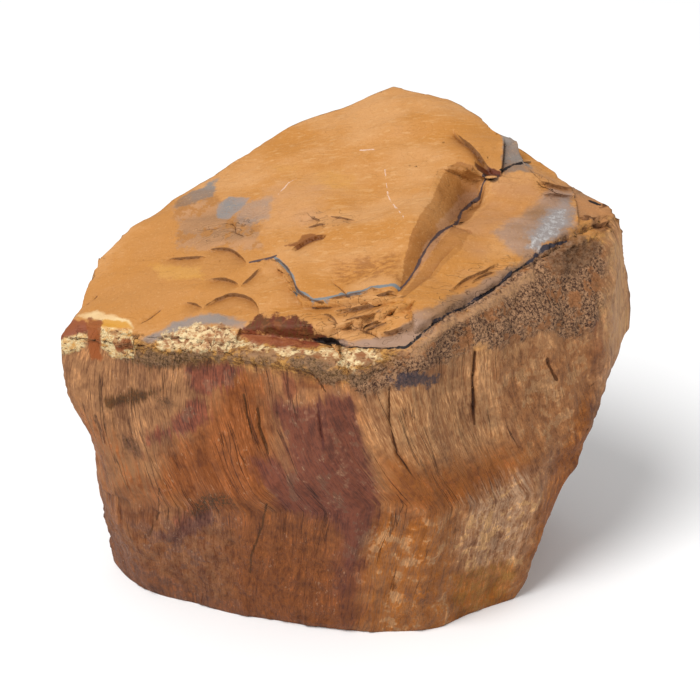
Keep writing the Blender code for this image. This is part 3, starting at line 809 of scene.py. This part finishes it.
def capRelief(places):
    # low flaking steps all over the cap, and the named ledges, fold and cracks
    out = terracesOver(places, **relief["capStep"]) + noiseOver(places, **relief["capFine"])
    gaps = np.full(len(places), far)
    shades = np.zeros(len(places))
    flat = viewFrom(places, "cap")
    for form in capLedges.values():
        drop, line, shade = ledgeRelief(flat, form)
        out -= drop
        gaps = np.minimum(gaps, line)
        shades = np.maximum(shades, shade)
    distance, side, along = pathDistance(flat, capFold["floor"])
    width = np.where(side < 0, np.interp(along, (0, 1), capFold["leftWidth"]),
                     np.interp(along, (0, 1), capFold["rightWidth"]))
    depth = np.interp(along, (0, 1), capFold["depth"]) * smoothStep(along, 0.0, capFold["start"])
    out -= depth * np.clip(1 - distance / width, 0.0, 1.0)
    for form in capCracks.values():
        depth, line = crackRelief(flat, form, relief["capCrackTaper"])
        out -= depth
        gaps = np.minimum(gaps, line)
    return out, gaps, shades


def fibreRelief(places, across, rubble, front):
    # bundles and strands along the fibres, splintered off at uneven heights, and broken lumps between them
    out = terracesOver(across, **relief["bundle"]) + noiseOver(across, **relief["strand"])
    out += terracesOver(across, **relief["splinter"])
    out = out * (1 - relief["fibresInRubble"] * rubble) + terracesOver(places, **relief["rubble"]) * rubble
    under = kinkHeightAt(places[:, 0]) - places[:, 2] + noiseOver(places, **relief["shelfWave"])
    shelf = smoothStep(under, 0.0, relief["shelfEdge"]) * np.exp(-np.maximum(under, 0.0) / relief["shelfFade"])
    out -= front * relief["shelf"] * shelf * (1 - smoothStep(places[:, 0], *relief["shelfSpan"]))
    flat = viewFrom(places, "front")
    for form in frontCracks.values():
        out -= front * crackRelief(flat, form, relief["frontCrackTaper"])[0]
    return out


def crustRelief(places, belowCap, rimFace):
    # crumbs where the rim is crumbled, and a thinner broken band round the back
    low, high = relief["crustDepth"]
    start, end = relief["crustFade"]
    band = smoothStep(belowCap, low, low + start) * (1 - smoothStep(belowCap, high, high + end))
    crustShare = band * (1 - rimFace)
    flat = viewFrom(places, "rim")
    for form in rimPatches.values():
        if form["crumbled"]:
            inside = smoothStep(insideDistance(flat, form["outline"]), *relief["crumbInside"]) * rimFace
            crustShare = np.maximum(crustShare, form["crumbled"] * inside)
    crumbs = relief["crumbHeight"] * (1 - 2 * np.abs(noiseOver(places, **relief["crumb"])))
    return (crumbs + noiseOver(places, **relief["lump"])) * crustShare, crustShare


def writeFields(mesh, places, across, fields):
    # keeps what the paint reads: these fields, and how far each place is inside every patch and from every seam
    for view in patches:
        flat = viewFrom(places, view)
        for name, form in patches[view].items():
            fields[f"{view}_{name}"] = insideDistance(flat, form["outline"])
        for name, form in seams[view].items():
            fields[f"{view}_{name}"] = pathDistance(flat, form["points"])[0]
    for name, values in fields.items():
        mesh.attributes.new(name, "FLOAT", "POINT").data.foreach_set("value", values.astype(np.float32))
    layer = mesh.attributes.new("fibrePlace", "FLOAT_VECTOR", "POINT")
    layer.data.foreach_set("vector", across.ravel().astype(np.float32))


def buildStone():
    mesh = shapeStone()
    places, normals = meshArrays(mesh)
    belowCap = capHeights(places, normals)
    onCap = (belowCap < stoneMesh["capDepth"]) & (normals[:, 2] > relief["capFacing"])
    front = smoothStep(-normals[:, 1], *relief["frontFacing"])
    rimFace = smoothStep(-places[:, 1], *relief["rimDepth"]) * smoothStep(places[:, 2], *relief["rimHeight"])
    rimFace *= smoothStep(-normals[:, 1] + normals[:, 2], *relief["rimFacing"])
    across = fibreLayout(places)
    rubble = rubbleShare(places, front)
    move = fibreRelief(places, across, rubble, front)
    ledgeGap = np.full(len(places), far)
    ledgeShade = np.zeros(len(places))
    move[onCap], ledgeGap[onCap], ledgeShade[onCap] = capRelief(places[onCap])
    crumbMove, crustShare = crustRelief(places, belowCap, rimFace)
    move += crumbMove
    folds = relief["foldHeight"] * (noiseOver(across, **relief["fold"]) - relief["foldShift"]) * (1 - front)
    foot = smoothStep(places[:, 2], 0.0, relief["footFade"])
    moved = places + normals * ((move + np.where(onCap, 0.0, folds)) * foot)[:, None]
    low, high = np.array(cadBox) / mm
    moved = np.clip(moved, low, high)
    moved[places[:, 2] < relief["footFlat"], 2] = low[2]
    mesh.vertices.foreach_set("co", (moved * mm).ravel())
    flaky = np.max([insideDistance(places[:, :2], zone) for zone in flakyZones], axis=0)
    writeFields(mesh, places, across, {
        "belowCap": belowCap, "front": front, "rimFace": rimFace, "hollow": -move, "crustShare": crustShare,
        "ledgeGap": ledgeGap, "ledgeShade": ledgeShade, "rubble": rubble, "flaky": flaky})
    mesh.update()
    mesh.shade_smooth()
    mesh.set_sharp_from_angle(angle=math.radians(stoneMesh["shadeCrease"]))
    stone = addObject("roughStone", mesh)
    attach(stone, "root")
    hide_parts("tigers_eye")
    print("stone shaped")
    return stone


# colours of the stone as they look under the studio light, red green blue out of 255
tones = {
    "ochre": (219, 161, 105), "deepOchre": (205, 140, 74), "paleOchre": (230, 178, 122),
    "amber": (222, 158, 62), "scarp": (182, 124, 70), "scarpDark": (160, 102, 56),
    "scarpPink": (202, 150, 108), "blueGrey": (134, 140, 143), "inkBlue": (62, 62, 74),
    "lilac": (184, 150, 130), "silver": (204, 202, 200), "stain": (152, 118, 92),
    "tanShade": (194, 138, 94), "greyLilac": (158, 150, 148), "warmTan": (166, 110, 72),
    "rosy": (205, 152, 112), "warmOchre": (203, 142, 82), "glassy": (214, 172, 136),
    "darkBrown": (98, 62, 38), "black": (30, 24, 22), "seamGrey": (96, 78, 80), "redWall": (104, 48, 34),
    "pinkLedge": (158, 84, 64), "cream": (255, 232, 180), "gold": (222, 164, 92),
    "crumbDark": (104, 66, 40), "olive": (74, 57, 42), "khaki": (154, 107, 77),
    "khakiLight": (176, 128, 90), "orangeBrown": (147, 82, 40), "maroon": (146, 83, 66),
    "maroonDark": (99, 58, 56), "foxBrown": (150, 89, 56), "redBrown": (137, 80, 52),
    "duskPurple": (122, 86, 73), "goldTan": (178, 122, 81), "darkGold": (175, 104, 46),
    "mustard": (172, 118, 52), "paleTan": (192, 146, 104), "rust": (158, 86, 50),
    "grain": (190, 146, 111), "grainDark": (62, 42, 32), "brick": (150, 72, 46),
    "scratch": (236, 196, 170),
}

paint = {
    "gain": 0.72,               # albedo against the tone seen under the studio light
    "veil": (0.004, 0.010, 0.016),      # taken off each tone for the sheen that lies over it
    "sheen": 0.3,
    "sideRoughness": 0.66, "capRoughness": 0.62, "grainRoughness": 0.15, "smoother": 0.07,
    "edgeNoise": (2.6, -1.3), "fibreEdge": (3.0, -1.5),          # spread and shift of uneven edges, mm
    "fibreEdgeMix": 0.45, "broadShare": 0.45, "hairShare": 0.35,
    "chipShare": 0.3, "chipRise": 0.5, "chipScale": 1.25, "crumbBend": 1.1, "crumbStretch": (0.7, 0.9, 1.45),
    "flakeLevels": 9.0, "flakeRiser": 0.12, "flakeLineEnd": 2.2,
    "seamCore": 0.45,           # share of a seam's width that is in full colour
    "ledgeUneven": 0.10, "flakyUneven": 1.2, "crustUneven": 1.5, "capEdgeUneven": 0.5,
    # painted shade under a ledge: its tint and how strong it is
    "ledgeShadeTint": (0.50, 0.40, 0.33, 1), "ledgeShadeShare": 0.7,       # under a ledge
    "darkTint": (0.36, 0.27, 0.22, 1), "lightTint": (1.7, 1.65, 1.6, 1), "tintShare": 0.75,
    "crackTint": (0.34, 0.26, 0.21, 1), "crackShade": 0.62,
    # painted shade in the hollows of the relief
    "hollowShadeTint": (0.30, 0.20, 0.15, 1),
    "rubbleGrain": 0.5, "rubbleCracks": 0.3,     # how much fibre grain gives way to lumps, and what cracks keep
    # heights of the fine relief, mm; pairs are from plain to flaky or lumpy zones
    "capBump": 0.05, "layerBump": 0.08, "flakeBump": (0.03, 0.16), "crumbBump": 0.45, "crackBump": 0.30,
    "fibreBump": (0.26, 0.104), "hairBump": 0.12, "rubbleBump": (0.12, 0.55),
}

# noise: its scale per mm, one or for each axis, its detail and its roughness
textures = {
    "cloud": dict(scale=(0.055, 0.11, 0.11)),
    "layers": dict(scale=(0.22, 1.6, 2.6), detail=4.0),
    "grain": dict(scale=2.3, detail=2.0, roughness=0.65),
    "ragged": dict(scale=0.55, detail=4.0, roughness=0.68),
    "fibreRagged": dict(scale=0.22, detail=4.0, roughness=0.65),
    "Broad": dict(scale=(0.36, 0.36, 0.03), detail=4.0, roughness=0.62),
    "Fine": dict(scale=(2.0, 2.0, 0.16), detail=2.0, roughness=0.62),
    "Hair": dict(scale=(5.5, 5.5, 0.80), detail=1.0, roughness=0.62),
    "crackPath": dict(scale=(0.75, 0.75, 0.045), detail=2.0, roughness=0.45),
    "crackSpread": dict(scale=(0.22, 0.22, 0.09), detail=1.0),
    "flakes": dict(scale=(0.16, 0.34, 0.34), detail=3.0, roughness=0.5),
    "flakeSpread": dict(scale=0.16, detail=1.0),
    "grit": dict(scale=2.3, detail=2.0, roughness=0.9),
    "spark": dict(scale=1.38, detail=4.0, roughness=0.8),
    "fineCrumbs": dict(scale=1.2, detail=3.0, roughness=0.78),
    "specks": dict(scale=1.5, detail=2.0, roughness=0.6),
    "mottle": dict(scale=0.30, detail=3.0, roughness=0.72),
    "rubble": dict(scale=(1.15, 1.15, 0.60), detail=4.0, roughness=0.74),
    "patchy": dict(scale=(0.09, 0.09, 0.05), detail=3.0, roughness=0.65),
    "bands": dict(scale=(0.035, 0.035, 0.11), detail=3.0, roughness=0.6),
    "flecks": dict(scale=(2.6, 2.6, 1.5), detail=2.0),
}

# where a value starts and ends to count and, unless it runs from 0 to 1, what it counts there
ramps = {
    "cloud": (0.36, 0.64), "streak": (0.40, 0.60), "layers": (0.40, 0.60), "rubble": (0.42, 0.58),
    "spots": (0.52, 0.60, 0.0, 0.8), "grit": (0.36, 0.64), "spark": (0.46, 0.66),
    "fineCrumbs": (0.38, 0.60), "specks": (0.36, 0.43, 0.75, 0.0),
    "crack": (0.003, 0.015, 1.0, 0.0), "crackSpread": (0.48, 0.58), "flakeSpread": (0.50, 0.60),
    "paleLayers": (0.52, 0.72, 0.0, 0.55), "darkGrain": (0.56, 0.72, 0.0, 0.30),
    "paleGrain": (0.42, 0.30, 0.0, 0.25),
    "ledgeLine": (0.02, 0.13, 0.75, 0.0),       # mm, half width of the shadow in a ledge
    "flaky": (-1.0, 1.0), "flakeLines": (0.0, 1.0, 0.08, 0.45),
    "height": (12.0, 30.0), "broad": (0.42, 0.62),
    "maroon": (0.57, 0.63, 0.0, 0.75), "darkGold": (0.45, 0.38, 0.0, 0.6),
    "paleBands": (0.52, 0.58, 0.0, 0.7), "redBands": (0.47, 0.41, 0.0, 0.7),
    "crust": (0.4, 3.4, 0.9, 0.0),              # mm below the cap, where no front patch covers it
    "darkFibre": (0.50, 0.0), "darkMottle": (0.50, 0.36),
    "lightFibre": (0.60, 1.0), "lightMottle": (0.46, 0.60),
    "flecks": (0.62, 0.67, 0.0, 0.38),
    "capEdge": (0.15, 0.75, 1.0, 0.0),          # mm below the cap where its colour ends
    # painted shade in the hollows, by how deep they lie in mm
    "sideHollowShade": (0.05, 0.6, 0.0, 0.75), "capHollowShade": (0.35, 1.2, 0.0, 0.6),
}


def toneColour(name):
    # the linear albedo that looks like this tone in the render
    parts = []
    for part, veil in zip(tones[name], paint["veil"]):
        share = part / 255
        share = share / 12.92 if share <= 0.04045 else ((share + 0.055) / 1.055) ** 2.4
        parts.append(max(paint["gain"] * share - veil, 0.002))
    return (*parts, 1)


def makeNode(tree, kind, inputs=None, **settings):
    node = tree.nodes.new(kind)
    for name, value in settings.items():
        setattr(node, name, value)
    for name, value in (inputs or {}).items():
        if isinstance(value, bpy.types.NodeSocket):
            tree.links.new(value, node.inputs[name])
        else:
            node.inputs[name].default_value = value
    return node


def mathOf(tree, operation, *values):
    return makeNode(tree, "ShaderNodeMath", dict(enumerate(values)), operation=operation).outputs[0]


def timesOf(tree, first, second):
    return mathOf(tree, "MULTIPLY", first, second)


def timesPlus(tree, first, second, third):
    return mathOf(tree, "MULTIPLY_ADD", first, second, third)


def easeOf(tree, value, low, high, start=0.0, end=1.0):
    return makeNode(tree, "ShaderNodeMapRange",
                    {"Value": value, "From Min": low, "From Max": high, "To Min": start, "To Max": end},
                    interpolation_type="SMOOTHSTEP").outputs[0]


def rampOf(tree, value, name):
    return easeOf(tree, value, *ramps[name])


def mixOf(tree, share, first, second, kind="MIX"):
    return makeNode(tree, "ShaderNodeMix", {0: share, 6: first, 7: second},
                    data_type="RGBA", blend_type=kind).outputs[2]


def toned(tree, share, colour, name):
    # lays a tone over the colour
    return mixOf(tree, share, colour, toneColour(name))


def tinted(tree, share, colour, tint):
    # multiplies the colour by one of the tints
    return mixOf(tree, share, colour, paint[tint], "MULTIPLY")


def blendOf(tree, share, first, second):
    return makeNode(tree, "ShaderNodeMix", {0: share, 2: first, 3: second}, data_type="FLOAT").outputs[0]


def attributeOf(tree, name, output="Fac"):
    return makeNode(tree, "ShaderNodeAttribute", attribute_name=name).outputs[output]


def stretchOf(tree, place, scale):
    return makeNode(tree, "ShaderNodeMapping", {"Vector": place, "Scale": scale}).outputs[0]


def noiseOf(tree, place, name):
    # the noise of this name over the place
    look = {"detail": 3.0, "roughness": 0.55, **textures[name]}
    scale = look["scale"]
    if isinstance(scale, tuple):
        place, scale = stretchOf(tree, place, scale), 1.0
    inputs = {"Vector": place, "Scale": scale, "Detail": look["detail"], "Roughness": look["roughness"]}
    return makeNode(tree, "ShaderNodeTexNoise", inputs).outputs["Fac"]


def groupOf(tree, group, **inputs):
    return makeNode(tree, "ShaderNodeGroup", inputs, node_tree=group).outputs


def makeGroup(name, inputs, outputs):
    group = bpy.data.node_groups.new(name, "ShaderNodeTree")
    for label in inputs:
        kind = "NodeSocketVector" if label == "Place" else "NodeSocketFloat"
        group.interface.new_socket(label, in_out="INPUT", socket_type=kind)
    for label in outputs:
        group.interface.new_socket(label, in_out="OUTPUT", socket_type="NodeSocketFloat")
    return group, group.nodes.new("NodeGroupInput").outputs, group.nodes.new("NodeGroupOutput").inputs


def raggedPatchGroup():
    # a mask for a patch with an uneven outline, from the distance inside its outline
    inputs = ["Distance", "Roughening", "Ragged", "Soft", "Strength"]
    group, given, wanted = makeGroup("raggedPatch", inputs, ["Mask"])
    uneven = timesPlus(group, given["Roughening"], given["Ragged"], given["Distance"])
    mask = easeOf(group, uneven, timesOf(group, given["Soft"], -1.0), given["Soft"])
    group.links.new(timesOf(group, mask, given["Strength"]), wanted["Mask"])
    return group


def raggedSeamGroup():
    # a mask for a thin line of uneven width
    group, given, wanted = makeGroup("raggedSeam", ["Distance", "Roughening", "Ragged", "Width"], ["Mask"])
    uneven = timesPlus(group, given["Roughening"], given["Ragged"], given["Distance"])
    inner = timesOf(group, given["Width"], paint["seamCore"])
    group.links.new(easeOf(group, uneven, inner, given["Width"], 1.0, 0.0), wanted["Mask"])
    return group


def fibreGroup():
    # three widths of streak along the fibres, and thin broken cracks between them
    group, given, wanted = makeGroup("fibreStreaks", ["Place"], ["Broad", "Fine", "Hair", "Crack"])
    for label in ("Broad", "Fine", "Hair"):
        group.links.new(noiseOf(group, given["Place"], label), wanted[label])
    path = noiseOf(group, given["Place"], "crackPath")
    line = rampOf(group, mathOf(group, "ABSOLUTE", mathOf(group, "SUBTRACT", path, 0.5)), "crack")
    present = rampOf(group, noiseOf(group, given["Place"], "crackSpread"), "crackSpread")
    group.links.new(timesOf(group, line, present), wanted["Crack"])
    return group


def flakeGroup():
    # thin flakes lifting off in steps, with a fine shadow line at each step
    group, given, wanted = makeGroup("flakes", ["Place"], ["Height", "Line"])
    level = timesOf(group, noiseOf(group, given["Place"], "flakes"), paint["flakeLevels"])
    rest = mathOf(group, "FRACT", level)
    riser = paint["flakeRiser"]
    rise = easeOf(group, rest, 0.0, riser)
    group.links.new(mathOf(group, "ADD", mathOf(group, "FLOOR", level), rise), wanted["Height"])
    line = timesOf(group, rise, easeOf(group, rest, riser, riser * paint["flakeLineEnd"], 1.0, 0.0))
    broken = rampOf(group, noiseOf(group, given["Place"], "flakeSpread"), "flakeSpread")
    group.links.new(timesOf(group, line, broken), wanted["Line"])
    return group


def grainGroup():
    # small grains of mixed tone, finer than crumbs
    group, given, wanted = makeGroup("grains", ["Place"], ["Shade", "Spark"])
    group.links.new(rampOf(group, noiseOf(group, given["Place"], "grit"), "grit"), wanted["Shade"])
    group.links.new(rampOf(group, noiseOf(group, given["Place"], "spark"), "spark"), wanted["Spark"])
    return group


def crumbGroup():
    # broken crumbs: chips of mixed tone and height, with dark specks between them, partly dark grains and
    # partly painted shade in the gaps
    group, given, wanted = makeGroup("crumbs", ["Place"], ["Shade", "Height", "Gap"])
    drawn = stretchOf(group, given["Place"], paint["crumbStretch"])
    bend = makeNode(group, "ShaderNodeTexNoise", {"Vector": drawn, "Scale": paint["crumbBend"], "Detail": 2.0})
    bent = makeNode(group, "ShaderNodeVectorMath", {0: bend.outputs["Color"], 1: drawn},
                    operation="ADD").outputs[0]
    chips = makeNode(group, "ShaderNodeTexVoronoi", {"Vector": bent, "Scale": paint["chipScale"]})
    chip = makeNode(group, "ShaderNodeSeparateColor", {0: chips.outputs["Color"]}).outputs[0]
    fine = noiseOf(group, drawn, "fineCrumbs")
    shade = blendOf(group, paint["chipShare"], rampOf(group, fine, "fineCrumbs"), chip)
    group.links.new(shade, wanted["Shade"])
    group.links.new(timesPlus(group, chip, paint["chipRise"], fine), wanted["Height"])
    group.links.new(rampOf(group, noiseOf(group, bent, "specks"), "specks"), wanted["Gap"])
    return group


def covered(tree, share, cover):
    return share if cover is None else timesOf(tree, share, cover)


def layPatches(tree, colour, view, group, roughening, grains, plainGrain, cover=None):
    # lays the patches of a view over the colour, each in its tones mixed by its grain
    for name, form in patches[view].items():
        share = groupOf(tree, group, Distance=attributeOf(tree, f"{view}_{name}"), Roughening=roughening,
                        Ragged=form["ragged"], Soft=form["soft"], Strength=form["strength"])["Mask"]
        first, second, *third = form["tones"]
        grain = form["grain"] or plainGrain
        own = toned(tree, grains[grain], toneColour(first), second)
        if third:
            own = toned(tree, grains["spots"], own, third[0])
        if grain == "crumb":
            # dark specks between the crumbs: partly dark grains, partly painted shade in the gaps
            own = toned(tree, grains["gap"], own, "darkBrown")
        colour = mixOf(tree, covered(tree, share, cover), colour, own)
    return colour


def laySeams(tree, colour, view, group, roughening, cover=None):
    # draws the seams of a view over the colour
    for name, form in seams[view].items():
        share = groupOf(tree, group, Distance=attributeOf(tree, f"{view}_{name}"), Roughening=roughening,
                        Ragged=form["ragged"], Width=form["width"])["Mask"]
        colour = toned(tree, covered(tree, share, cover), colour, form["tone"])
    return colour


def paintStone():
    material = bpy.data.materials.new("roughTigersEye")
    material.use_nodes = True
    tree = material.node_tree
    shader = tree.nodes["Principled BSDF"]
    patchMask, seamMask = raggedPatchGroup(), raggedSeamGroup()

    objectPlace = makeNode(tree, "ShaderNodeTexCoord").outputs["Object"]
    place = makeNode(tree, "ShaderNodeVectorMath", {0: objectPlace, "Scale": 1 / mm},
                     operation="SCALE").outputs[0]
    fibrePlace = attributeOf(tree, "fibrePlace", "Vector")
    belowCap, front, rimFace, hollow, rubble = [
        attributeOf(tree, name) for name in ("belowCap", "front", "rimFace", "hollow", "rubble")]
    height = makeNode(tree, "ShaderNodeSeparateXYZ", {0: place}).outputs[2]
    fibres = groupOf(tree, fibreGroup(), Place=fibrePlace)
    crumbs = groupOf(tree, crumbGroup(), Place=place)
    flakes = groupOf(tree, flakeGroup(), Place=place)
    grit = groupOf(tree, grainGroup(), Place=place)

    cloud = rampOf(tree, noiseOf(tree, place, "cloud"), "cloud")
    layers = noiseOf(tree, place, "layers")
    grain = noiseOf(tree, place, "grain")
    edgeNoise = timesPlus(tree, noiseOf(tree, place, "ragged"), *paint["edgeNoise"])
    ragged = blendOf(tree, paint["fibreEdgeMix"], fibres["Fine"], noiseOf(tree, place, "fibreRagged"))
    fibreEdge = timesPlus(tree, ragged, *paint["fibreEdge"])
    streak = blendOf(tree, paint["broadShare"], fibres["Fine"], fibres["Broad"])
    streak = rampOf(tree, blendOf(tree, paint["hairShare"], streak, fibres["Hair"]), "streak")
    mottle = noiseOf(tree, place, "mottle")
    lumps = noiseOf(tree, fibrePlace, "rubble")
    lumpShade = rampOf(tree, lumps, "rubble")
    fibreShade = blendOf(tree, timesOf(tree, rubble, paint["rubbleGrain"]), streak, lumpShade)
    grains = {"cloud": cloud, "streak": rampOf(tree, layers, "layers"), "spots": rampOf(tree, mottle, "spots"),
              "crumb": crumbs["Shade"], "gap": crumbs["Gap"], "grit": grit["Shade"], "spark": grit["Spark"],
              "rubble": lumpShade, "fibre": fibreShade}

    # the cap
    capColour = toned(tree, cloud, toneColour("ochre"), "deepOchre")
    capColour = toned(tree, rampOf(tree, layers, "paleLayers"), capColour, "paleOchre")
    capColour = layPatches(tree, capColour, "cap", patchMask, edgeNoise, grains, "cloud")
    capColour = toned(tree, rampOf(tree, grain, "darkGrain"), capColour, "scarp")
    capColour = toned(tree, rampOf(tree, grain, "paleGrain"), capColour, "paleOchre")
    capColour = laySeams(tree, capColour, "cap", seamMask, edgeNoise)
    # painted shade cast under each ledge on the cap
    under = timesOf(tree, attributeOf(tree, "ledgeShade"), paint["ledgeShadeShare"])
    capColour = tinted(tree, under, capColour, "ledgeShadeTint")
    # painted shadow lines along the ledges and cracks, and at the flake steps
    ledgeGap = timesPlus(tree, edgeNoise, paint["ledgeUneven"], attributeOf(tree, "ledgeGap"))
    flaky = rampOf(tree, timesPlus(tree, edgeNoise, paint["flakyUneven"], attributeOf(tree, "flaky")), "flaky")
    flakeLine = timesOf(tree, flakes["Line"], rampOf(tree, flaky, "flakeLines"))
    line = mathOf(tree, "MAXIMUM", rampOf(tree, ledgeGap, "ledgeLine"), flakeLine)
    capColour = toned(tree, line, capColour, "darkBrown")

    # the sides
    sideColour = toned(tree, rampOf(tree, height, "height"), toneColour("redBrown"), "khaki")
    sideColour = toned(tree, rampOf(tree, fibres["Broad"], "broad"), sideColour, "goldTan")
    patchy = noiseOf(tree, fibrePlace, "patchy")
    bands = noiseOf(tree, place, "bands")
    # mottled patches, and horizontal bands: partly bands of colour, partly painted sheen of the fibres in the
    # pale ones
    for field, ramp, tone in ((patchy, "maroon", "maroon"), (patchy, "darkGold", "darkGold"),
                              (bands, "paleBands", "khakiLight"), (bands, "redBands", "redBrown")):
        sideColour = toned(tree, rampOf(tree, field, ramp), sideColour, tone)
    crust = toned(tree, crumbs["Shade"], toneColour("crumbDark"), "gold")
    crustMask = rampOf(tree, timesPlus(tree, edgeNoise, paint["crustUneven"], belowCap), "crust")
    sideColour = mixOf(tree, crustMask, sideColour, crust)
    sideColour = layPatches(tree, sideColour, "front", patchMask, fibreEdge, grains, "fibre", front)
    dark = blendOf(tree, 0.5, rampOf(tree, fibreShade, "darkFibre"), rampOf(tree, mottle, "darkMottle"))
    sideColour = tinted(tree, timesOf(tree, dark, paint["tintShare"]), sideColour, "darkTint")
    light = timesOf(tree, rampOf(tree, fibreShade, "lightFibre"), rampOf(tree, mottle, "lightMottle"))
    sideColour = tinted(tree, timesOf(tree, light, paint["tintShare"]), sideColour, "lightTint")
    # pale flecks on the fibres, painted in as small glints of light
    flecks = rampOf(tree, noiseOf(tree, fibrePlace, "flecks"), "flecks")
    sideColour = toned(tree, timesOf(tree, flecks, grains["spots"]), sideColour, "glassy")
    crack = timesOf(tree, fibres["Crack"], blendOf(tree, rubble, 1.0, paint["rubbleCracks"]))
    sideColour = tinted(tree, timesOf(tree, crack, paint["crackShade"]), sideColour, "crackTint")
    sideColour = laySeams(tree, sideColour, "front", seamMask, fibreEdge, front)

    # the whole stone, with the rim over both
    capMask = rampOf(tree, timesPlus(tree, edgeNoise, paint["capEdgeUneven"], belowCap), "capEdge")
    colour = mixOf(tree, capMask, sideColour, capColour)
    colour = layPatches(tree, colour, "rim", patchMask, edgeNoise, grains, "cloud", rimFace)
    colour = laySeams(tree, colour, "rim", seamMask, edgeNoise, rimFace)
    # painted shade in the hollows of the relief, over the whole stone
    deep = blendOf(tree, capMask, rampOf(tree, hollow, "sideHollowShade"), rampOf(tree, hollow, "capHollowShade"))
    tree.links.new(tinted(tree, deep, colour, "hollowShadeTint"), shader.inputs["Base Color"])
    shader.inputs["Specular IOR Level"].default_value = paint["sheen"]
    roughness = blendOf(tree, capMask, paint["sideRoughness"], paint["capRoughness"])
    roughness = mathOf(tree, "SUBTRACT", roughness, paint["smoother"])
    tree.links.new(timesPlus(tree, grain, paint["grainRoughness"], roughness), shader.inputs["Roughness"])

    # fine relief, in mm
    capHeight = timesOf(tree, layers, paint["layerBump"])
    capHeight = timesPlus(tree, grain, paint["capBump"], capHeight)
    flakeHeight = mathOf(tree, "SUBTRACT", flakes["Height"], paint["flakeLevels"] / 2)
    flakeShare = easeOf(tree, flaky, 0.0, 1.0, *paint["flakeBump"])
    capHeight = timesPlus(tree, flakeHeight, flakeShare, capHeight)
    sideHeight = timesOf(tree, fibres["Fine"], blendOf(tree, rubble, *paint["fibreBump"]))
    sideHeight = timesPlus(tree, fibres["Hair"], paint["hairBump"], sideHeight)
    sideHeight = timesPlus(tree, lumps, blendOf(tree, rubble, *paint["rubbleBump"]), sideHeight)
    sideHeight = timesPlus(tree, crack, -paint["crackBump"], sideHeight)
    crumbHeight = timesOf(tree, crumbs["Height"], paint["crumbBump"])
    sideHeight = timesPlus(tree, crumbHeight, attributeOf(tree, "crustShare"), sideHeight)
    bump = makeNode(tree, "ShaderNodeBump", {"Height": blendOf(tree, capMask, sideHeight, capHeight),
                                             "Strength": 1.0, "Distance": mm})
    tree.links.new(bump.outputs[0], shader.inputs["Normal"])
    print("stone painted:", len(tree.nodes), "nodes")
    return material


stone = buildStone()
stone.data.materials.append(paintStone())


# floor, light and camera

studio = {
    "floorSize": 4.0,
    "floorColour": (0.88, 0.88, 0.88), "floorRoughness": 0.9,
    "airColour": (1.0, 1.0, 1.0), "airStrength": 0.6,
    "keyPlace": (-0.9, -1.1, 2.0), "keySize": 1.2, "keyPower": 55.0,
    "aim": (0.0, -0.024, 0.0475),            # metres, the point in the middle of the view
    "elevation": 25, "distance": 0.290,
    "lens": 100, "sensor": 36, "nearest": 0.01,
}


def layFloor():
    block = bmesh.new()
    bmesh.ops.create_grid(block, x_segments=1, y_segments=1, size=studio["floorSize"] / 2)
    bmesh.ops.translate(block, verts=block.verts, vec=(0, 0, cadBox[0][2]))
    mesh = bpy.data.meshes.new("studioFloor")
    block.to_mesh(mesh)
    block.free()
    floor = addObject("studioFloor", mesh)
    pale = bpy.data.materials.new("paleFloor")
    pale.use_nodes = True
    shader = pale.node_tree.nodes["Principled BSDF"]
    shader.inputs["Base Color"].default_value = (*studio["floorColour"], 1)
    shader.inputs["Roughness"].default_value = studio["floorRoughness"]
    mesh.materials.append(pale)


def lightStudio():
    world = bpy.data.worlds.new("studioAir")
    bpy.context.scene.world = world
    world.use_nodes = True
    air = world.node_tree.nodes["Background"]
    air.inputs["Color"].default_value = (*studio["airColour"], 1)
    air.inputs["Strength"].default_value = studio["airStrength"]
    key = bpy.data.lights.new("key", "AREA")
    key.shape = "DISK"
    key.size = studio["keySize"]
    key.energy = studio["keyPower"]
    lamp = addObject("key", key)
    lamp.location = studio["keyPlace"]
    toStone = Vector(studio["aim"]) - lamp.location
    lamp.rotation_euler = toStone.to_track_quat("-Z", "Y").to_euler()


def placeCamera():
    tilt = math.radians(studio["elevation"])
    forward = Vector((0, math.cos(tilt), -math.sin(tilt)))
    lens = bpy.data.cameras.new("view")
    lens.lens = studio["lens"]
    lens.sensor_width = studio["sensor"]
    lens.clip_start = studio["nearest"]
    camera = addObject("view", lens)
    camera.location = Vector(studio["aim"]) - forward * studio["distance"]
    camera.rotation_euler = forward.to_track_quat("-Z", "Y").to_euler()
    bpy.context.scene.camera = camera


layFloor()
lightStudio()
placeCamera()
bpy.context.scene.view_settings.view_transform = "Standard"
print("studio set")
